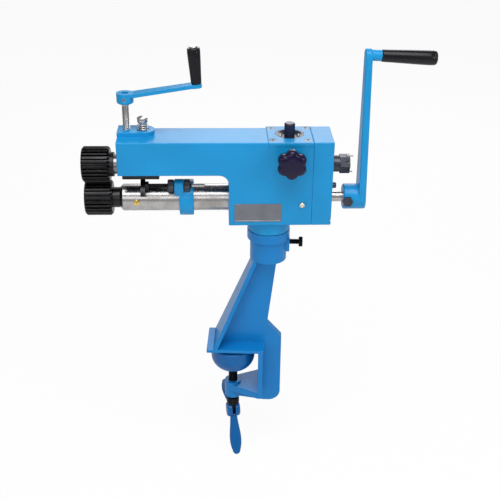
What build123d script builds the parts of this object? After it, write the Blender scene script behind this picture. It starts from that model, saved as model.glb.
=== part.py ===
from build123d import *

import os
from math import acos, cos, degrees, pi, radians, sin, tan

# A hand-cranked machine that crimps and beads sheet metal, clamped to the edge of a bench. Millimetres.
# The origin is the centre of the bench clamp, on the table's underside, where the bench top is gripped.
# +X runs along the shafts towards the crank, +Y away from the operator, +Z up.

# ---------------------------------------------------------------- fits
running = 0.05  # radial clearance of a shaft in its bush, and of a screw in its thread
seat = 0.03  # radial clearance of a piece that is fixed in its bore
gap = 0.3  # between faces that pass each other

# ---------------------------------------------------------------- stand
stand_turn = -3.58  # degrees, how far the stand is turned under the head
clamp_reach = 51.7  # swivel axis to clamp screw axis
table_length = 86.7
table_overhang = 39.0  # of the table, past the clamp screw, on the side away from the column
table_width = 66.0
table_thickness = 4.7
jaw_depth = 39.7  # clamp screw axis to the column's face
jaw_height = 72.7  # table's underside to the lower arm
wall_flange = 7.0
column_width = 34.9
column_bottom = 103.0
column_corner = 18.0
waist_height = 39.3
waist_step = 22.3
web = 14.0
stem_top_width = 33.0
stem_flange_top = 38.0
stem_flange = 6.5
arm_plate = 11.0
boss_radius = 12.55
boss_rise = 3.0  # screw boss above the lower arm
boss_length = 28.0

# ---------------------------------------------------------------- swivel
swivel_height = 198.6  # seam between head and stand, above the bench
cup_radius = 26.7
cup_depth = 47.8
cup_rim_radius = 31.0
cup_rim = 14.0
cup_floor = 6.0
spigot_radius = 21.0
spigot_length = 41.0
post_flange_radius = 30.7
post_flange = 19.9
post_screw_circle = 10.8
post_screw_radius = 4.0
lock_height = 22.6  # lock bolt below the seam
lock_radius = 4.0
lock_boss_reach = 31.0
lock_bolt_reach = 44.5
lock_head = 5.6
lock_flats = 14.2
slug_length = 3.9

# ---------------------------------------------------------------- clamp screw, pad and handle
screw_radius = 7.0
pad_radius = 33.8
pad_top = 4.5  # below the table, as it stands in the rest position
pad_wall = 14.7
pad_height = 40.5
pad_neck = 9.5
pad_socket = 18.0
collar_radius = 9.8
collar_gap = 4.6  # screw collar below the boss
collar_height = 13.2
pin_drop = 25.4  # handle pin below the collar's top
handle_turn = 13.0  # degrees, about the screw
handle_tip = 33.5  # degrees, how far the handle has tipped towards the operator
wing_droop = 28.5
wing_length = 74.0
wing_width = 18.0
wing_root = 12.0
wing_thickness = 7.0
hub_radius = 12.0
hub_width = 20.4
tongue = 5.0
tongue_radius = 6.5
handle_pin_radius = 3.0

# ---------------------------------------------------------------- head castings
head_height = 122.7
housing_reach = 58.2  # swivel axis to the throat's end
seam_reach = 57.3  # swivel axis to the gear case's seam
case_length = 28.3
arm_length = 151.8
arm_height = 47.7
front_depth = 37.2  # shaft plane to the front face
arm_back = 25.0
case_back = 31.1
throat_corner = 13.0
wall = 7.2
side_wall = 8.0
roof = 8.0
edge_round = 1.6
arm_guide = 60.0  # length of the machined guide at the arm's end
guide_front = 24.4
guide_back = 17.9
plate_reach = 5.0  # the top plate starts this far left of the swivel axis
plate_thickness = 5.0
plate_hole = 20.1
plate_screw_x = 24.2
plate_screw_y = 24.3
plate_screw_radius = 3.0
case_screw_radius = 2.5
case_screw_head = 3.5
case_screw_low = 7.5
case_screw_high = 104.0
pad_plate_height = 7.0
pad_plate_half = 16.3

# ---------------------------------------------------------------- shafts, rolls and gears
lower_axis = 28.4  # above the housing's underside
shaft_spacing = 50.0
upper_axis = lower_axis + shaft_spacing
shaft_radius = 10.0
roll_tip = 25.2
roll_root = 21.8
roll_teeth = 26
roll_tip_width = 2.2
roll_root_width = 3.8
roll_width = 38.4
roll_bevel = 2.6
roll_counterbore = 14.0
roll_recess = 6.0
roll_hub = 17.0
roll_hub_length = 5.5
lower_roll_end = 260.2  # outer end of the lower roll, left of the swivel axis
upper_roll_end = 261.2
roll_screw_radius = 4.0
roll_screw_head = 13.0
gear_teeth = 25
gear_module = 2.0
gear_backlash = 0.12  # taken off each flank
gear_start = 59.0
gear_width = 16.0
gear_room = 27.1  # radius hollowed round each gear
upper_gear_start = 60.5
upper_gear_width = 13.0
pressure_angle = 20.0
key_width = 5.0
tube_radius = 19.0
tube_bore = 13.0
tube_start = 211.0
tube_length = 189.0
tube_chamfer = 4.0
tube_boss = 25.0
tube_bush_length = 30.0
lower_collar_radius = 14.4
stub_radius = 7.4
stub_length = 37.6
bush_radius = 13.5
bush_length = 8.4
nose_radius = 13.5
nose_length = 10.4

# ---------------------------------------------------------------- pressure screw and its crank
press_reach = 197.5  # pressure screw, left of the swivel axis
press_radius = 5.0
press_top = 178.0
block_start = 205.0
block_length = 51.0
block_front = 24.0
block_back = 17.5
block_low = 64.8
block_top = 101.0
block_bush = 12.0
button_radius = 7.0
button_height = 4.5
button_dome = 20.0  # radius of its underside
lift_reach = 175.6
lift_radius = 4.0
lift_pocket = 8.5
lift_clear = 5.7
lift_floor = 117.7
lift_head_height = 139.0
lift_head = 7.7
lift_flats = 13.0
spring_wire = 1.6
spring_radius = 5.5
spring_turns = 5
press_hub_radius = 11.5
press_hub_low = 166.5
press_hub_high = 181.0
press_crank_radius = 96.4
press_arm_rise = 12.0
press_arm_thickness = 5.0
press_arm_end = 7.5
press_grip_tilt = 3.7
press_grip_length = 48.0
press_grip_low = 6.4
press_grip_high = 8.65
press_pin_radius = 3.5

# ---------------------------------------------------------------- main crank
crank_start = 105.0  # right of the swivel axis
crank_hub_radius = 18.0
crank_hub_length = 21.4
crank_radius = 203.5
crank_arm_low = 10.8
crank_arm_high = 9.3
crank_lean = 2.1
crank_end = 9.5
crank_boss_radius = 7.4
crank_boss_reach = 146.5
crank_screw_reach = 110.5
crank_screw_radius = 4.0
crank_screw_flats = 13.0
grip_droop = 2.5
grip_length = 75.0
grip_low = 7.4
grip_high = 9.1
grip_pin_radius = 4.0
grip_cap = 6.2

# ---------------------------------------------------------------- roll alignment
post_reach = 26.4  # eccentric post, right of the swivel axis
post_top = 138.5
post_stem = 7.5
post_disc = 19.9
post_shank = 12.0
post_shank_low = 96.0
post_boss = 17.0
post_offset = 2.5
post_pin = 3.0
sleeve_radius = 15.0
sleeve_groove = 11.5
sleeve_length = 26.0
groove_play = 0.5
shoulder_radius = 13.0
shoulder_length = 5.6
knob_height = 100.0
knob_radius = 19.5
knob_lobes = 6
knob_lobe = 6.0
knob_thickness = 16.0
knob_hub = 9.0
knob_hub_length = 10.0
knob_front = 67.0
knob_stud = 4.0
knob_slug = 6.0

# ---------------------------------------------------------------- back of the gear case
spacer_start = 87.7
spacer_length = 10.3
spacer_radius = 11.6
thread_radius = 8.0
nut_length = 14.0
nut_flats = 24.0
nut_slots = 5.0
split_pin_radius = 1.3
oil_cup_height = 45.5
oil_cup_radius = 4.2
oil_cup_length = 9.5

# ---------------------------------------------------------------- edge gauge on the tube
rod_distance = 29.2  # from the tube's axis
rod_angle = 34.0  # degrees, forward of upright
rod_radius = 3.0
rod_start = 172.5  # left end, left of the swivel axis
rod_length = 81.0
ring_start = 127.5
ring_length = 20.0
ring_radius = 25.6
ear_start = 134.0
ear_length = 23.4
ear_radius = 9.4
ear_plate = 13.0
nut_radius = 8.8
nut_width = 9.0
nut_teeth = 24
stop_start = 180.6
stop_thickness = 6.5
stop_inner = 20.6
stop_outer = 35.4
stop_from = 22.0
stop_to = 66.0
stop_hub = 6.0
stop_hub_length = 4.5

# ---------------------------------------------------------------- small fittings
label_left = 50.3
label_length = 65.9
label_low = 6.3
label_height = 26.9
label_thickness = 0.8
oiler_reach = 43.9
oiler_height = 31.3
oiler_radius = 3.6
nipple_reach = 187.4
nipple_radius = 4.2

# ---------------------------------------------------------------- places worked out from the sizes
stand_right = Vector(cos(radians(stand_turn)), sin(radians(stand_turn)), 0)
stand_back = Vector(-sin(radians(stand_turn)), cos(radians(stand_turn)), 0)
swivel = stand_right * clamp_reach
head_floor = swivel_height + post_flange
boss_top = jaw_height - boss_rise
collar_top = boss_top + boss_length + collar_gap
handle_height = collar_top + pin_drop
arm_end = -(housing_reach + arm_length)
arm_under = head_height - arm_height
case_end = seam_reach + case_length
pivot_reach = case_end - side_wall / 2
deck = head_height - plate_thickness
tube_end = -tube_start + tube_length
upper_roll_inner = -upper_roll_end + roll_width
lower_roll_inner = -lower_roll_end + roll_width
shaft_start = -lower_roll_end + roll_recess
upper_shaft_start = -upper_roll_end + roll_recess
nose_start = upper_roll_inner + roll_hub_length
rod_y = -rod_distance * sin(radians(rod_angle))
rod_z = lower_axis + rod_distance * cos(radians(rod_angle))


def head(x, y, z):
    """A point from the swivel axis, at the housing's underside."""
    return swivel + Vector(x, y, head_floor + z)


def level(z, x=0.0, y=0.0):
    """A flat plane in the head, facing up."""
    return Plane(head(x, y, z))


def front(y, x=0.0, z=0.0):
    """An upright plane in the head, facing the operator. Its x is X and its y is Z."""
    return Plane(head(x, y, z), x_dir=(1, 0, 0), z_dir=(0, -1, 0))


def across(x, y=0.0, z=0.0):
    """A plane square to the shafts. Its x is Y and its y is Z."""
    return Plane(head(x, y, z), x_dir=(0, 1, 0), z_dir=(1, 0, 0))


def stand_level(z, x=0.0):
    """A flat plane of the stand, heights from the bench, x from the swivel axis."""
    return Plane(swivel + stand_right * x + Vector(0, 0, z), x_dir=stand_right)


def stand_front():
    """The stand's middle plane, facing the operator. Its x is along the stand and its y is Z."""
    return Plane(swivel, x_dir=stand_right, z_dir=-stand_back)


def stand_across(x, z):
    """A plane square to the stand's length."""
    return Plane(swivel + stand_right * x + Vector(0, 0, z), x_dir=stand_back, z_dir=stand_right)


def turned(axis, outline, bore=0.0):
    """A round piece about a plane's normal. The outline is (distance along, radius) pairs."""
    side = Plane(axis.origin, x_dir=axis.x_dir, z_dir=-axis.y_dir)
    corners = [(radius, along) for along, radius in outline]
    corners += [(bore, outline[-1][0]), (bore, outline[0][0])]
    with BuildPart() as piece:
        with BuildSketch(side):
            with BuildLine():
                Polyline(*corners, close=True)
            make_face()
        revolve(axis=Axis(axis.origin, axis.z_dir))
    return piece


def tooth_points(teeth, flank, first):
    """Corners of a toothed outline. Each flank is (radius, half angle) pairs, first is a tooth's angle."""
    points = []
    for tooth in range(teeth):
        middle = first + tooth * 360 / teeth
        climb = [(radius, middle - half) for radius, half in flank]
        fall = [(radius, middle + half) for radius, half in reversed(flank)]
        for radius, angle in climb + fall:
            points.append((radius * cos(radians(angle)), radius * sin(radians(angle))))
    return points


# ================================================================ stand
table_left = -clamp_reach - table_overhang
column_face = -clamp_reach + jaw_depth
column_back = column_face + column_width
cup_bottom = swivel_height - gap - cup_depth
stem_left = -19.0
stem_foot = table_left + 9.0

with BuildPart() as bench_clamp_stand:
    with BuildSketch(stand_front()):
        with BuildLine():
            Polyline(
                (stem_left, cup_bottom + cup_floor),
                (stem_left + stem_top_width, cup_bottom + cup_floor),
                (column_back - waist_step, waist_height),
                (column_back, waist_height - waist_step - 2.7),
                (column_back, -column_bottom),
                (column_back - column_width + 9.0, -column_bottom),
                (-clamp_reach, -boss_top - boss_length + 2.0),
                (-clamp_reach, -jaw_height - arm_plate / 2),
                (column_face + wall_flange / 2, -jaw_height - arm_plate / 2),
                (column_face + wall_flange / 2, table_thickness / 2),
                (stem_foot, table_thickness / 2),
                close=True,
            )
        face = make_face()
        lower_corner = face.vertices().group_by(Axis.Z)[0].sort_by(Axis.X)[-1]
        fillet(lower_corner, column_corner)
    extrude(amount=web / 2, both=True)
    for height, half_width, left in (
        (cup_bottom + cup_floor, stem_flange_top / 2, stem_left),
        (table_thickness / 2, table_width / 2, stem_foot),
    ):
        with BuildSketch(stand_level(height, left + stem_flange / 2)):
            Rectangle(stem_flange, 2 * half_width)
    loft()
    with BuildSketch(stand_level(0, table_left + table_length / 2)):
        RectangleRounded(table_length, table_width, 2.0)
    extrude(amount=table_thickness)
    with BuildSketch(stand_level(-jaw_height - arm_plate / 2, column_face + wall_flange / 2)):
        Rectangle(wall_flange, table_width)
    extrude(amount=jaw_height + arm_plate / 2 + table_thickness / 2)
    with BuildSketch(stand_level(-jaw_height - arm_plate, -clamp_reach)):
        Circle(boss_radius)
        with Locations((jaw_depth + wall_flange / 2, 0)):
            Rectangle(wall_flange, table_width)
        make_hull()
    extrude(amount=arm_plate)
    with BuildSketch(stand_level(-boss_top - boss_length, -clamp_reach)):
        Circle(boss_radius)
    extrude(amount=boss_length)
    with BuildSketch(stand_level(cup_bottom)):
        Circle(cup_radius)
    extrude(amount=cup_depth)
    with BuildSketch(stand_level(swivel_height - gap - cup_rim)):
        Circle(cup_rim_radius)
    extrude(amount=cup_rim)
    with BuildSketch(stand_across(0, swivel_height - lock_height)):
        with Locations((0, -2.0)):
            RectangleRounded(20.0, 24.0, 6.0)
    extrude(amount=lock_boss_reach)
    with BuildSketch(stand_level(cup_bottom + cup_floor)):
        Circle(spigot_radius + running)
    extrude(amount=cup_depth, mode=Mode.SUBTRACT)
    with BuildSketch(stand_level(-boss_top - boss_length, -clamp_reach)):
        Circle(screw_radius + running)
    extrude(amount=boss_length, mode=Mode.SUBTRACT)
    with BuildSketch(stand_across(0, swivel_height - lock_height)):
        Circle(lock_radius + running)
    extrude(amount=lock_boss_reach + gap, mode=Mode.SUBTRACT)

lock_axis = stand_across(0, swivel_height - lock_height)
slug_tip = spigot_radius + running
swivel_lock_slug = turned(lock_axis, [(slug_tip, lock_radius), (slug_tip + slug_length, lock_radius)])

with BuildPart() as swivel_lock_bolt:
    with BuildSketch(lock_axis.offset(slug_tip + slug_length)):
        Circle(lock_radius)
    extrude(amount=lock_bolt_reach - slug_tip - slug_length)
    with BuildSketch(lock_axis.offset(lock_bolt_reach)):
        RegularPolygon(lock_flats / 2, 6, major_radius=False)
    extrude(amount=lock_head)

# ================================================================ clamp pad, screw and handle
clamp_axis = Plane(origin=(0, 0, 0), x_dir=stand_right)
pad_bottom = pad_top + pad_height

with BuildPart() as clamp_pad:
    with BuildSketch(Plane(clamp_axis.origin, x_dir=stand_right, z_dir=-stand_back)):
        with BuildLine():
            Polyline((0, -pad_bottom), (0, -pad_top), (pad_radius, -pad_top))
            Line((pad_radius, -pad_top), (pad_radius, -pad_top - pad_wall))
            ThreePointArc(
                (pad_radius, -pad_top - pad_wall),
                (pad_radius * 0.8, -pad_bottom + (pad_height - pad_wall) * 0.3),
                (pad_neck, -pad_bottom),
            )
            Line((pad_neck, -pad_bottom), (0, -pad_bottom))
        make_face()
    revolve(axis=Axis.Z)
    chamfer(clamp_pad.edges().group_by(Axis.Z)[-1], 1.0)
    with BuildSketch(Plane.XY.offset(-pad_bottom)):
        Circle(screw_radius + running)
    extrude(amount=pad_socket, mode=Mode.SUBTRACT)

handle_forward = stand_back.rotate(Axis.Z, handle_turn) * -1
handle_across = stand_right.rotate(Axis.Z, handle_turn)
pin_point = Vector(0, 0, -handle_height)
pin_plane = Plane(pin_point, x_dir=handle_forward, z_dir=-handle_across)

with BuildPart() as clamp_screw:
    with BuildSketch(Plane.XY.offset(-collar_top)):
        Circle(screw_radius)
    extrude(amount=collar_top - pad_bottom + pad_socket - gap)
    with BuildSketch(Plane.XY.offset(-collar_top - collar_height)):
        Circle(collar_radius)
    extrude(amount=collar_height)
    with BuildSketch(pin_plane):
        with BuildLine():
            reach = handle_height - collar_top - collar_height / 2
            Polyline((tongue_radius, 0), (tongue_radius, reach), (-tongue_radius, reach), (-tongue_radius, 0))
            ThreePointArc((-tongue_radius, 0), (0, -tongue_radius), (tongue_radius, 0))
        make_face()
        Circle(handle_pin_radius + seat, mode=Mode.SUBTRACT)
    extrude(amount=tongue / 2, both=True)

clamp_handle_pin = turned(
    pin_plane, [(-hub_width / 2, handle_pin_radius), (hub_width / 2, handle_pin_radius)]
)

tip_forward = handle_forward * cos(radians(handle_tip)) - Vector(0, 0, sin(radians(handle_tip)))
handle_level = Plane(pin_point, x_dir=tip_forward, z_dir=-handle_across)

wings = []
for side in (-1, 1):
    along = handle_level.x_dir * side * cos(radians(wing_droop))
    wing_way = along - handle_level.y_dir * sin(radians(wing_droop))
    with BuildPart() as wing:
        with BuildSketch(Plane(pin_point, x_dir=wing_way, z_dir=wing_way.cross(handle_across))):
            with BuildLine():
                tip_half = wing_root / 2
                shoulder = wing_length - tip_half
                widest = (wing_length * 0.6, wing_width / 2)
                Line((2.0, -tip_half), (2.0, tip_half))
                Spline((2.0, tip_half), (wing_length * 0.2, tip_half * 0.95), widest, (shoulder, tip_half))
                ThreePointArc((shoulder, tip_half), (wing_length, 0), (shoulder, -tip_half))
                Spline(
                    (shoulder, -tip_half),
                    (widest[0], -widest[1]),
                    (wing_length * 0.2, -tip_half * 0.95),
                    (2.0, -tip_half),
                )
            make_face()
        extrude(amount=wing_thickness / 2, both=True)
        across_wing = wing_way.cross(handle_across)
        rims = wing.faces().sort_by(Axis(pin_point, across_wing))
        chamfer([edge for face in (rims[0], rims[-1]) for edge in face.edges()], wing_thickness * 0.28)
    wings.append(wing.part)

with BuildPart() as clamp_handle:
    with BuildSketch(handle_level):
        Circle(hub_radius)
    extrude(amount=hub_width / 2, both=True)
    chamfer(clamp_handle.edges().filter_by(GeomType.CIRCLE), 2.0)
    add(wings)
    with BuildSketch(handle_level):
        Circle(tongue_radius + 2.5)
        with Locations((0, hub_radius / 2 + gap)):
            Rectangle(2 * hub_radius + 2, hub_radius + 2)
    extrude(amount=tongue / 2 + gap, both=True, mode=Mode.SUBTRACT)
    with BuildSketch(handle_level):
        Circle(handle_pin_radius + running)
    extrude(amount=hub_width / 2 + 1, both=True, mode=Mode.SUBTRACT)

# ================================================================ head castings
knob_axis = Plane(head(post_reach, 0, knob_height), x_dir=(1, 0, 0), z_dir=(0, -1, 0))
case_screw_rows = (-front_depth + wall / 2, case_back - wall / 2)
case_screws = [(y, z) for y in case_screw_rows for z in (case_screw_low, case_screw_high)]
plate_screws = [(x, y) for x in (-plate_screw_x, plate_screw_x) for y in (-plate_screw_y, plate_screw_y)]
plate_middle = (-plate_reach + seam_reach) / 2

plate_length = seam_reach + plate_reach
channel_left = arm_end + arm_guide
channel_right = -housing_reach + side_wall

with BuildPart() as gear_case:
    with BuildSketch(front(case_back)):
        with Locations((plate_middle, deck / 2)):
            Rectangle(plate_length, deck)
    extrude(amount=case_back - arm_back + 2 * edge_round)
    fillet(gear_case.faces().sort_by(Axis.Y)[-1].edges().sort_by(Axis.Z)[0], edge_round)

with BuildPart() as arm_housing:
    with BuildSketch(front(arm_back)):
        with BuildLine():
            Polyline(
                (arm_end, arm_under),
                (-housing_reach, arm_under),
                (-housing_reach, 0),
                (seam_reach, 0),
                (seam_reach, deck),
                (-plate_reach, deck),
                (-plate_reach, head_height),
                (arm_end, head_height),
                close=True,
            )
        outline = make_face()
        throat = outline.vertices().sort_by_distance(head(-housing_reach, arm_back, arm_under))[0]
        fillet(throat, throat_corner)
    extrude(amount=arm_back + front_depth)
    upright = arm_housing.faces().filter_by(Axis.Y).edges()
    seats = arm_housing.faces().sort_by_distance(head(-plate_reach, 0, deck))[:2]
    seats.append(arm_housing.faces().sort_by(Axis.X)[-1])
    seat_edges = [edge for face in seats for edge in face.edges()]
    fillet([edge for edge in upright if edge not in seat_edges], edge_round)
    add(gear_case.part)
    with BuildSketch(level(head_height)):
        with Locations((-lift_reach, 0)):
            Circle(pad_plate_half)
        with Locations(((arm_end - lift_reach) / 2, 0)):
            Rectangle(-lift_reach - arm_end, 2 * pad_plate_half)
    extrude(amount=pad_plate_height)
    # channel of the arm: the guide at its end, then the wider hollow
    with BuildSketch(front(guide_back)):
        with Locations((arm_end + arm_guide / 2 - 1, (arm_under + head_height - roof) / 2 - 1)):
            Rectangle(arm_guide + 2, head_height - roof - arm_under + 2)
    extrude(amount=guide_back + guide_front, mode=Mode.SUBTRACT)
    with BuildSketch(front(arm_back - wall)):
        with Locations(((channel_left + channel_right) / 2, (arm_under + head_height - roof) / 2 - 1)):
            Rectangle(channel_right - channel_left, head_height - roof - arm_under + 2)
    extrude(amount=arm_back - wall + front_depth - wall, mode=Mode.SUBTRACT)
    # hollow of the housing
    for left, right, back in (
        (channel_right, -plate_reach, arm_back),
        (-plate_reach - 1, seam_reach, case_back),
    ):
        with BuildSketch(front(back - wall)):
            with Locations(((left + right) / 2, (roof + deck - roof) / 2)):
                Rectangle(right - left, deck - 2 * roof)
        extrude(amount=back + front_depth - 2 * wall, mode=Mode.SUBTRACT)
    # passage of the upper shaft into the housing
    with BuildSketch(across(-housing_reach - 1, z=upper_axis)):
        Circle(shaft_radius + 2.0)
        with Locations((0, shaft_radius / 2)):
            Rectangle(2 * shaft_radius + 4.0, shaft_radius)
    extrude(amount=side_wall + 2, mode=Mode.SUBTRACT)
    # bosses of the tube and the eccentric post
    with BuildSketch(across(-housing_reach, z=lower_axis)):
        Circle(tube_boss)
    extrude(amount=housing_reach + tube_end)
    with BuildSketch(level(post_shank_low)):
        with Locations((post_reach, 0)):
            Circle(post_boss)
        with Locations((post_reach, -(front_depth - wall / 2) / 2)):
            Rectangle(2 * post_boss, front_depth - wall / 2)
    extrude(amount=deck - post_shank_low)
    # bores
    with BuildSketch(across(-housing_reach - 1, z=lower_axis)):
        Circle(tube_radius + seat)
    extrude(amount=housing_reach + tube_end + 2, mode=Mode.SUBTRACT)
    with BuildSketch(level(post_shank_low - 1)):
        with Locations((post_reach, 0)):
            Circle(post_shank + running)
    extrude(amount=deck, mode=Mode.SUBTRACT)
    with BuildSketch(knob_axis):
        Circle(knob_stud + running)
    extrude(amount=front_depth + 1, mode=Mode.SUBTRACT)
    with BuildSketch(level(head_height - roof - 1)):
        with Locations((-press_reach, 0)):
            Circle(press_radius + running)
        with Locations((-lift_reach, 0)):
            Circle(lift_clear)
    extrude(amount=roof + pad_plate_height + 2, mode=Mode.SUBTRACT)
    with BuildSketch(level(lift_floor)):
        with Locations((-lift_reach, 0)):
            Circle(lift_pocket)
    extrude(amount=head_height, mode=Mode.SUBTRACT)
    with BuildSketch(level(-1)):
        with GridLocations(2 * post_screw_circle, 2 * post_screw_circle, 2, 2):
            Circle(post_screw_radius + 0.3)
    extrude(amount=roof + 2, mode=Mode.SUBTRACT)
    with BuildSketch(level(deck - roof - 1)):
        with Locations([(plate_middle + x, y) for x, y in plate_screws]):
            Circle(plate_screw_radius + seat)
    extrude(amount=roof + 2, mode=Mode.SUBTRACT)
    with BuildSketch(across(seam_reach)):
        with Locations(case_screws):
            Circle(case_screw_radius + seat)
    extrude(amount=-14.0, mode=Mode.SUBTRACT)
    with BuildSketch(front(-front_depth)):
        with Locations((oiler_reach, oiler_height)):
            Circle(oiler_radius - 0.6 + seat)
    extrude(amount=-wall, mode=Mode.SUBTRACT)

with BuildPart() as gear_case_cover:
    with BuildSketch(front(case_back)):
        with Locations((seam_reach + case_length / 2, head_height / 2)):
            Rectangle(case_length, head_height)
    extrude(amount=case_back + front_depth)
    fillet(gear_case_cover.edges(), edge_round)
    with BuildSketch(front(case_back - wall)):
        with Locations((seam_reach + (case_length - side_wall) / 2 - 1, head_height / 2)):
            Rectangle(case_length - side_wall + 2, head_height - 2 * roof)
    extrude(amount=case_back + front_depth - 2 * wall, mode=Mode.SUBTRACT)
    with BuildSketch(across(seam_reach - 1)):
        with Locations((0, lower_axis), (0, upper_axis)):
            Circle(gear_room)
    extrude(amount=case_length - side_wall + 1, mode=Mode.SUBTRACT)
    with BuildSketch(across(case_end - side_wall, z=lower_axis)):
        Circle(bush_radius + seat)
    extrude(amount=side_wall + 1, mode=Mode.SUBTRACT)
    with Locations(head(pivot_reach, 0, upper_axis)):
        Sphere(bush_radius + running, mode=Mode.SUBTRACT)
    with BuildSketch(across(case_end - side_wall - 1, z=upper_axis)):
        Circle(shaft_radius + 2.0)
    extrude(amount=side_wall + 2, mode=Mode.SUBTRACT)
    with BuildSketch(across(seam_reach)):
        with Locations(case_screws):
            Circle(case_screw_radius + seat)
    extrude(amount=case_length, mode=Mode.SUBTRACT)
    with BuildSketch(across(case_end - side_wall + 2.0)):
        with Locations(case_screws):
            Circle(case_screw_head)
    extrude(amount=side_wall, mode=Mode.SUBTRACT)
    with BuildSketch(across(case_end - side_wall, z=oil_cup_height)):
        Circle(oil_cup_radius / 2 + seat)
    extrude(amount=side_wall + 1, mode=Mode.SUBTRACT)

with BuildPart() as cover_screws:
    for y, z in case_screws:
        with BuildSketch(across(seam_reach - 13.0, y, z)):
            Circle(case_screw_radius)
        extrude(amount=13.0 + case_length - side_wall + 2.0)
        with BuildSketch(across(case_end - side_wall + 2.0, y, z)):
            Circle(case_screw_head - 0.2)
            RegularPolygon(2.0, 6, major_radius=False, mode=Mode.SUBTRACT)
        extrude(amount=side_wall - 3.0)

with BuildPart() as top_plate:
    with BuildSketch(level(deck)):
        with Locations((plate_middle, (case_back - front_depth) / 2)):
            Rectangle(seam_reach + plate_reach, case_back + front_depth)
    extrude(amount=plate_thickness)
    chamfer(top_plate.edges().group_by(Axis.Z)[-1], 0.8)
    with BuildSketch(level(deck)):
        with Locations((post_reach, 0)):
            Circle(plate_hole)
    extrude(amount=plate_thickness, mode=Mode.SUBTRACT)
    with Locations([level(head_height, plate_middle + x, y) for x, y in plate_screws]):
        CounterSinkHole(plate_screw_radius + seat, 2 * plate_screw_radius, plate_thickness, 90)

with BuildPart() as top_plate_screws:
    for x, y in plate_screws:
        with BuildSketch(level(deck - roof, plate_middle + x, y)):
            Circle(plate_screw_radius)
        extrude(amount=roof + 1.0)
        sunk = plate_screw_radius - 0.2
        with BuildSketch(level(head_height - 0.2 - sunk, plate_middle + x, y)):
            Circle(plate_screw_radius)
        with BuildSketch(level(head_height - 0.2, plate_middle + x, y)):
            Circle(2 * plate_screw_radius - 0.3)
        loft()
        with BuildSketch(level(deck, plate_middle + x, y)):
            Circle(plate_screw_radius)
        extrude(amount=plate_thickness - 0.2 - sunk)
        with BuildSketch(level(head_height - 2.2, plate_middle + x, y)):
            RegularPolygon(1.9, 6, major_radius=False)
        extrude(amount=2.5, mode=Mode.SUBTRACT)

with BuildPart() as swivel_post:
    with BuildSketch(level(-post_flange)):
        Circle(post_flange_radius)
    extrude(amount=post_flange)
    with BuildSketch(level(-post_flange - spigot_length)):
        Circle(spigot_radius)
    extrude(amount=spigot_length)
    chamfer(swivel_post.edges().group_by(Axis.Z)[0], 1.5)
    flange_rim = swivel_post.edges().filter_by(GeomType.CIRCLE).group_by(Axis.Z)[-2]
    chamfer(flange_rim.sort_by(SortBy.RADIUS)[-1], 1.0)
    with BuildSketch(level(-post_flange + 4.0)):
        with GridLocations(2 * post_screw_circle, 2 * post_screw_circle, 2, 2):
            Circle(post_screw_radius + seat)
    extrude(amount=post_flange, mode=Mode.SUBTRACT)

with BuildPart() as swivel_post_screws:
    with BuildSketch(level(-post_flange + 5.0)):
        with GridLocations(2 * post_screw_circle, 2 * post_screw_circle, 2, 2):
            Circle(post_screw_radius)
    extrude(amount=post_flange - 5.0 + roof)
    with BuildSketch(level(roof)):
        with GridLocations(2 * post_screw_circle, 2 * post_screw_circle, 2, 2):
            Circle(6.5)
            RegularPolygon(3.0, 6, major_radius=False, mode=Mode.SUBTRACT)
    extrude(amount=2 * post_screw_radius)

# ================================================================ tube and bushes
tube_axis = across(0, z=lower_axis)
upper_line = across(0, z=upper_axis)
tube_outline = [
    (-tube_start, tube_radius - tube_chamfer),
    (-tube_start + tube_chamfer, tube_radius),
    (tube_end, tube_radius),
]
lower_shaft_tube = turned(tube_axis, tube_outline, tube_bore)
bush_start = -tube_start + 0.5
tube_bush = turned(
    tube_axis,
    [(bush_start, tube_bore - seat), (bush_start + tube_bush_length, tube_bore - seat)],
    shaft_radius + running,
)
lower_rear_bush = turned(
    tube_axis, [(case_end - bush_length, bush_radius), (case_end, bush_radius)], shaft_radius + running
)

with BuildPart() as upper_rear_bush:
    with BuildSketch(front(0, pivot_reach, upper_axis)):
        with BuildLine():
            half = bush_length / 2
            rim = (bush_radius**2 - half**2) ** 0.5
            ThreePointArc((-half, rim), (0, bush_radius), (half, rim))
            Polyline((half, rim), (half, shaft_radius + running), (-half, shaft_radius + running), (-half, rim))
        make_face()
    revolve(axis=Axis(upper_line.origin, upper_line.z_dir))

# ================================================================ rolls
def crimping_roll(axis, outer_end, first_tooth, hub_length):
    """A toothed roll with bevelled ends, its screw recess at the outer end and its hub at the inner end."""
    flank = [
        (roll_root, degrees(roll_root_width / 2 / roll_root)),
        (roll_tip, degrees(roll_tip_width / 2 / roll_tip)),
    ]
    with BuildPart() as roll:
        with BuildSketch(axis.offset(outer_end)):
            with BuildLine():
                Polyline(*tooth_points(roll_teeth, flank, first_tooth), close=True)
            make_face()
        extrude(amount=roll_width)
        with BuildSketch(Plane(axis.origin, x_dir=(1, 0, 0), z_dir=(0, -1, 0))):
            with BuildLine():
                inner_end = outer_end + roll_width
                Polyline(
                    (outer_end, 0),
                    (outer_end, roll_tip - roll_bevel),
                    (outer_end + roll_bevel, roll_tip + 0.1),
                    (inner_end - roll_bevel, roll_tip + 0.1),
                    (inner_end, roll_tip - roll_bevel),
                    (inner_end, 0),
                    close=True,
                )
            make_face()
        revolve(axis=Axis(axis.origin, axis.z_dir), mode=Mode.INTERSECT)
        if hub_length > 0:
            with BuildSketch(axis.offset(inner_end)):
                Circle(roll_hub)
            extrude(amount=hub_length)
        with BuildSketch(axis.offset(outer_end)):
            Circle(roll_counterbore)
        extrude(amount=roll_recess, mode=Mode.SUBTRACT)
        with BuildSketch(axis.offset(outer_end)):
            Circle(shaft_radius + seat)
        extrude(amount=roll_width + hub_length, mode=Mode.SUBTRACT)
    return roll


tooth_step = 360 / roll_teeth
lower_roll = crimping_roll(tube_axis, -lower_roll_end, 90.0, 0.0)
upper_roll = crimping_roll(upper_line, -upper_roll_end, -90.0 + tooth_step / 2, roll_hub_length)


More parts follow.
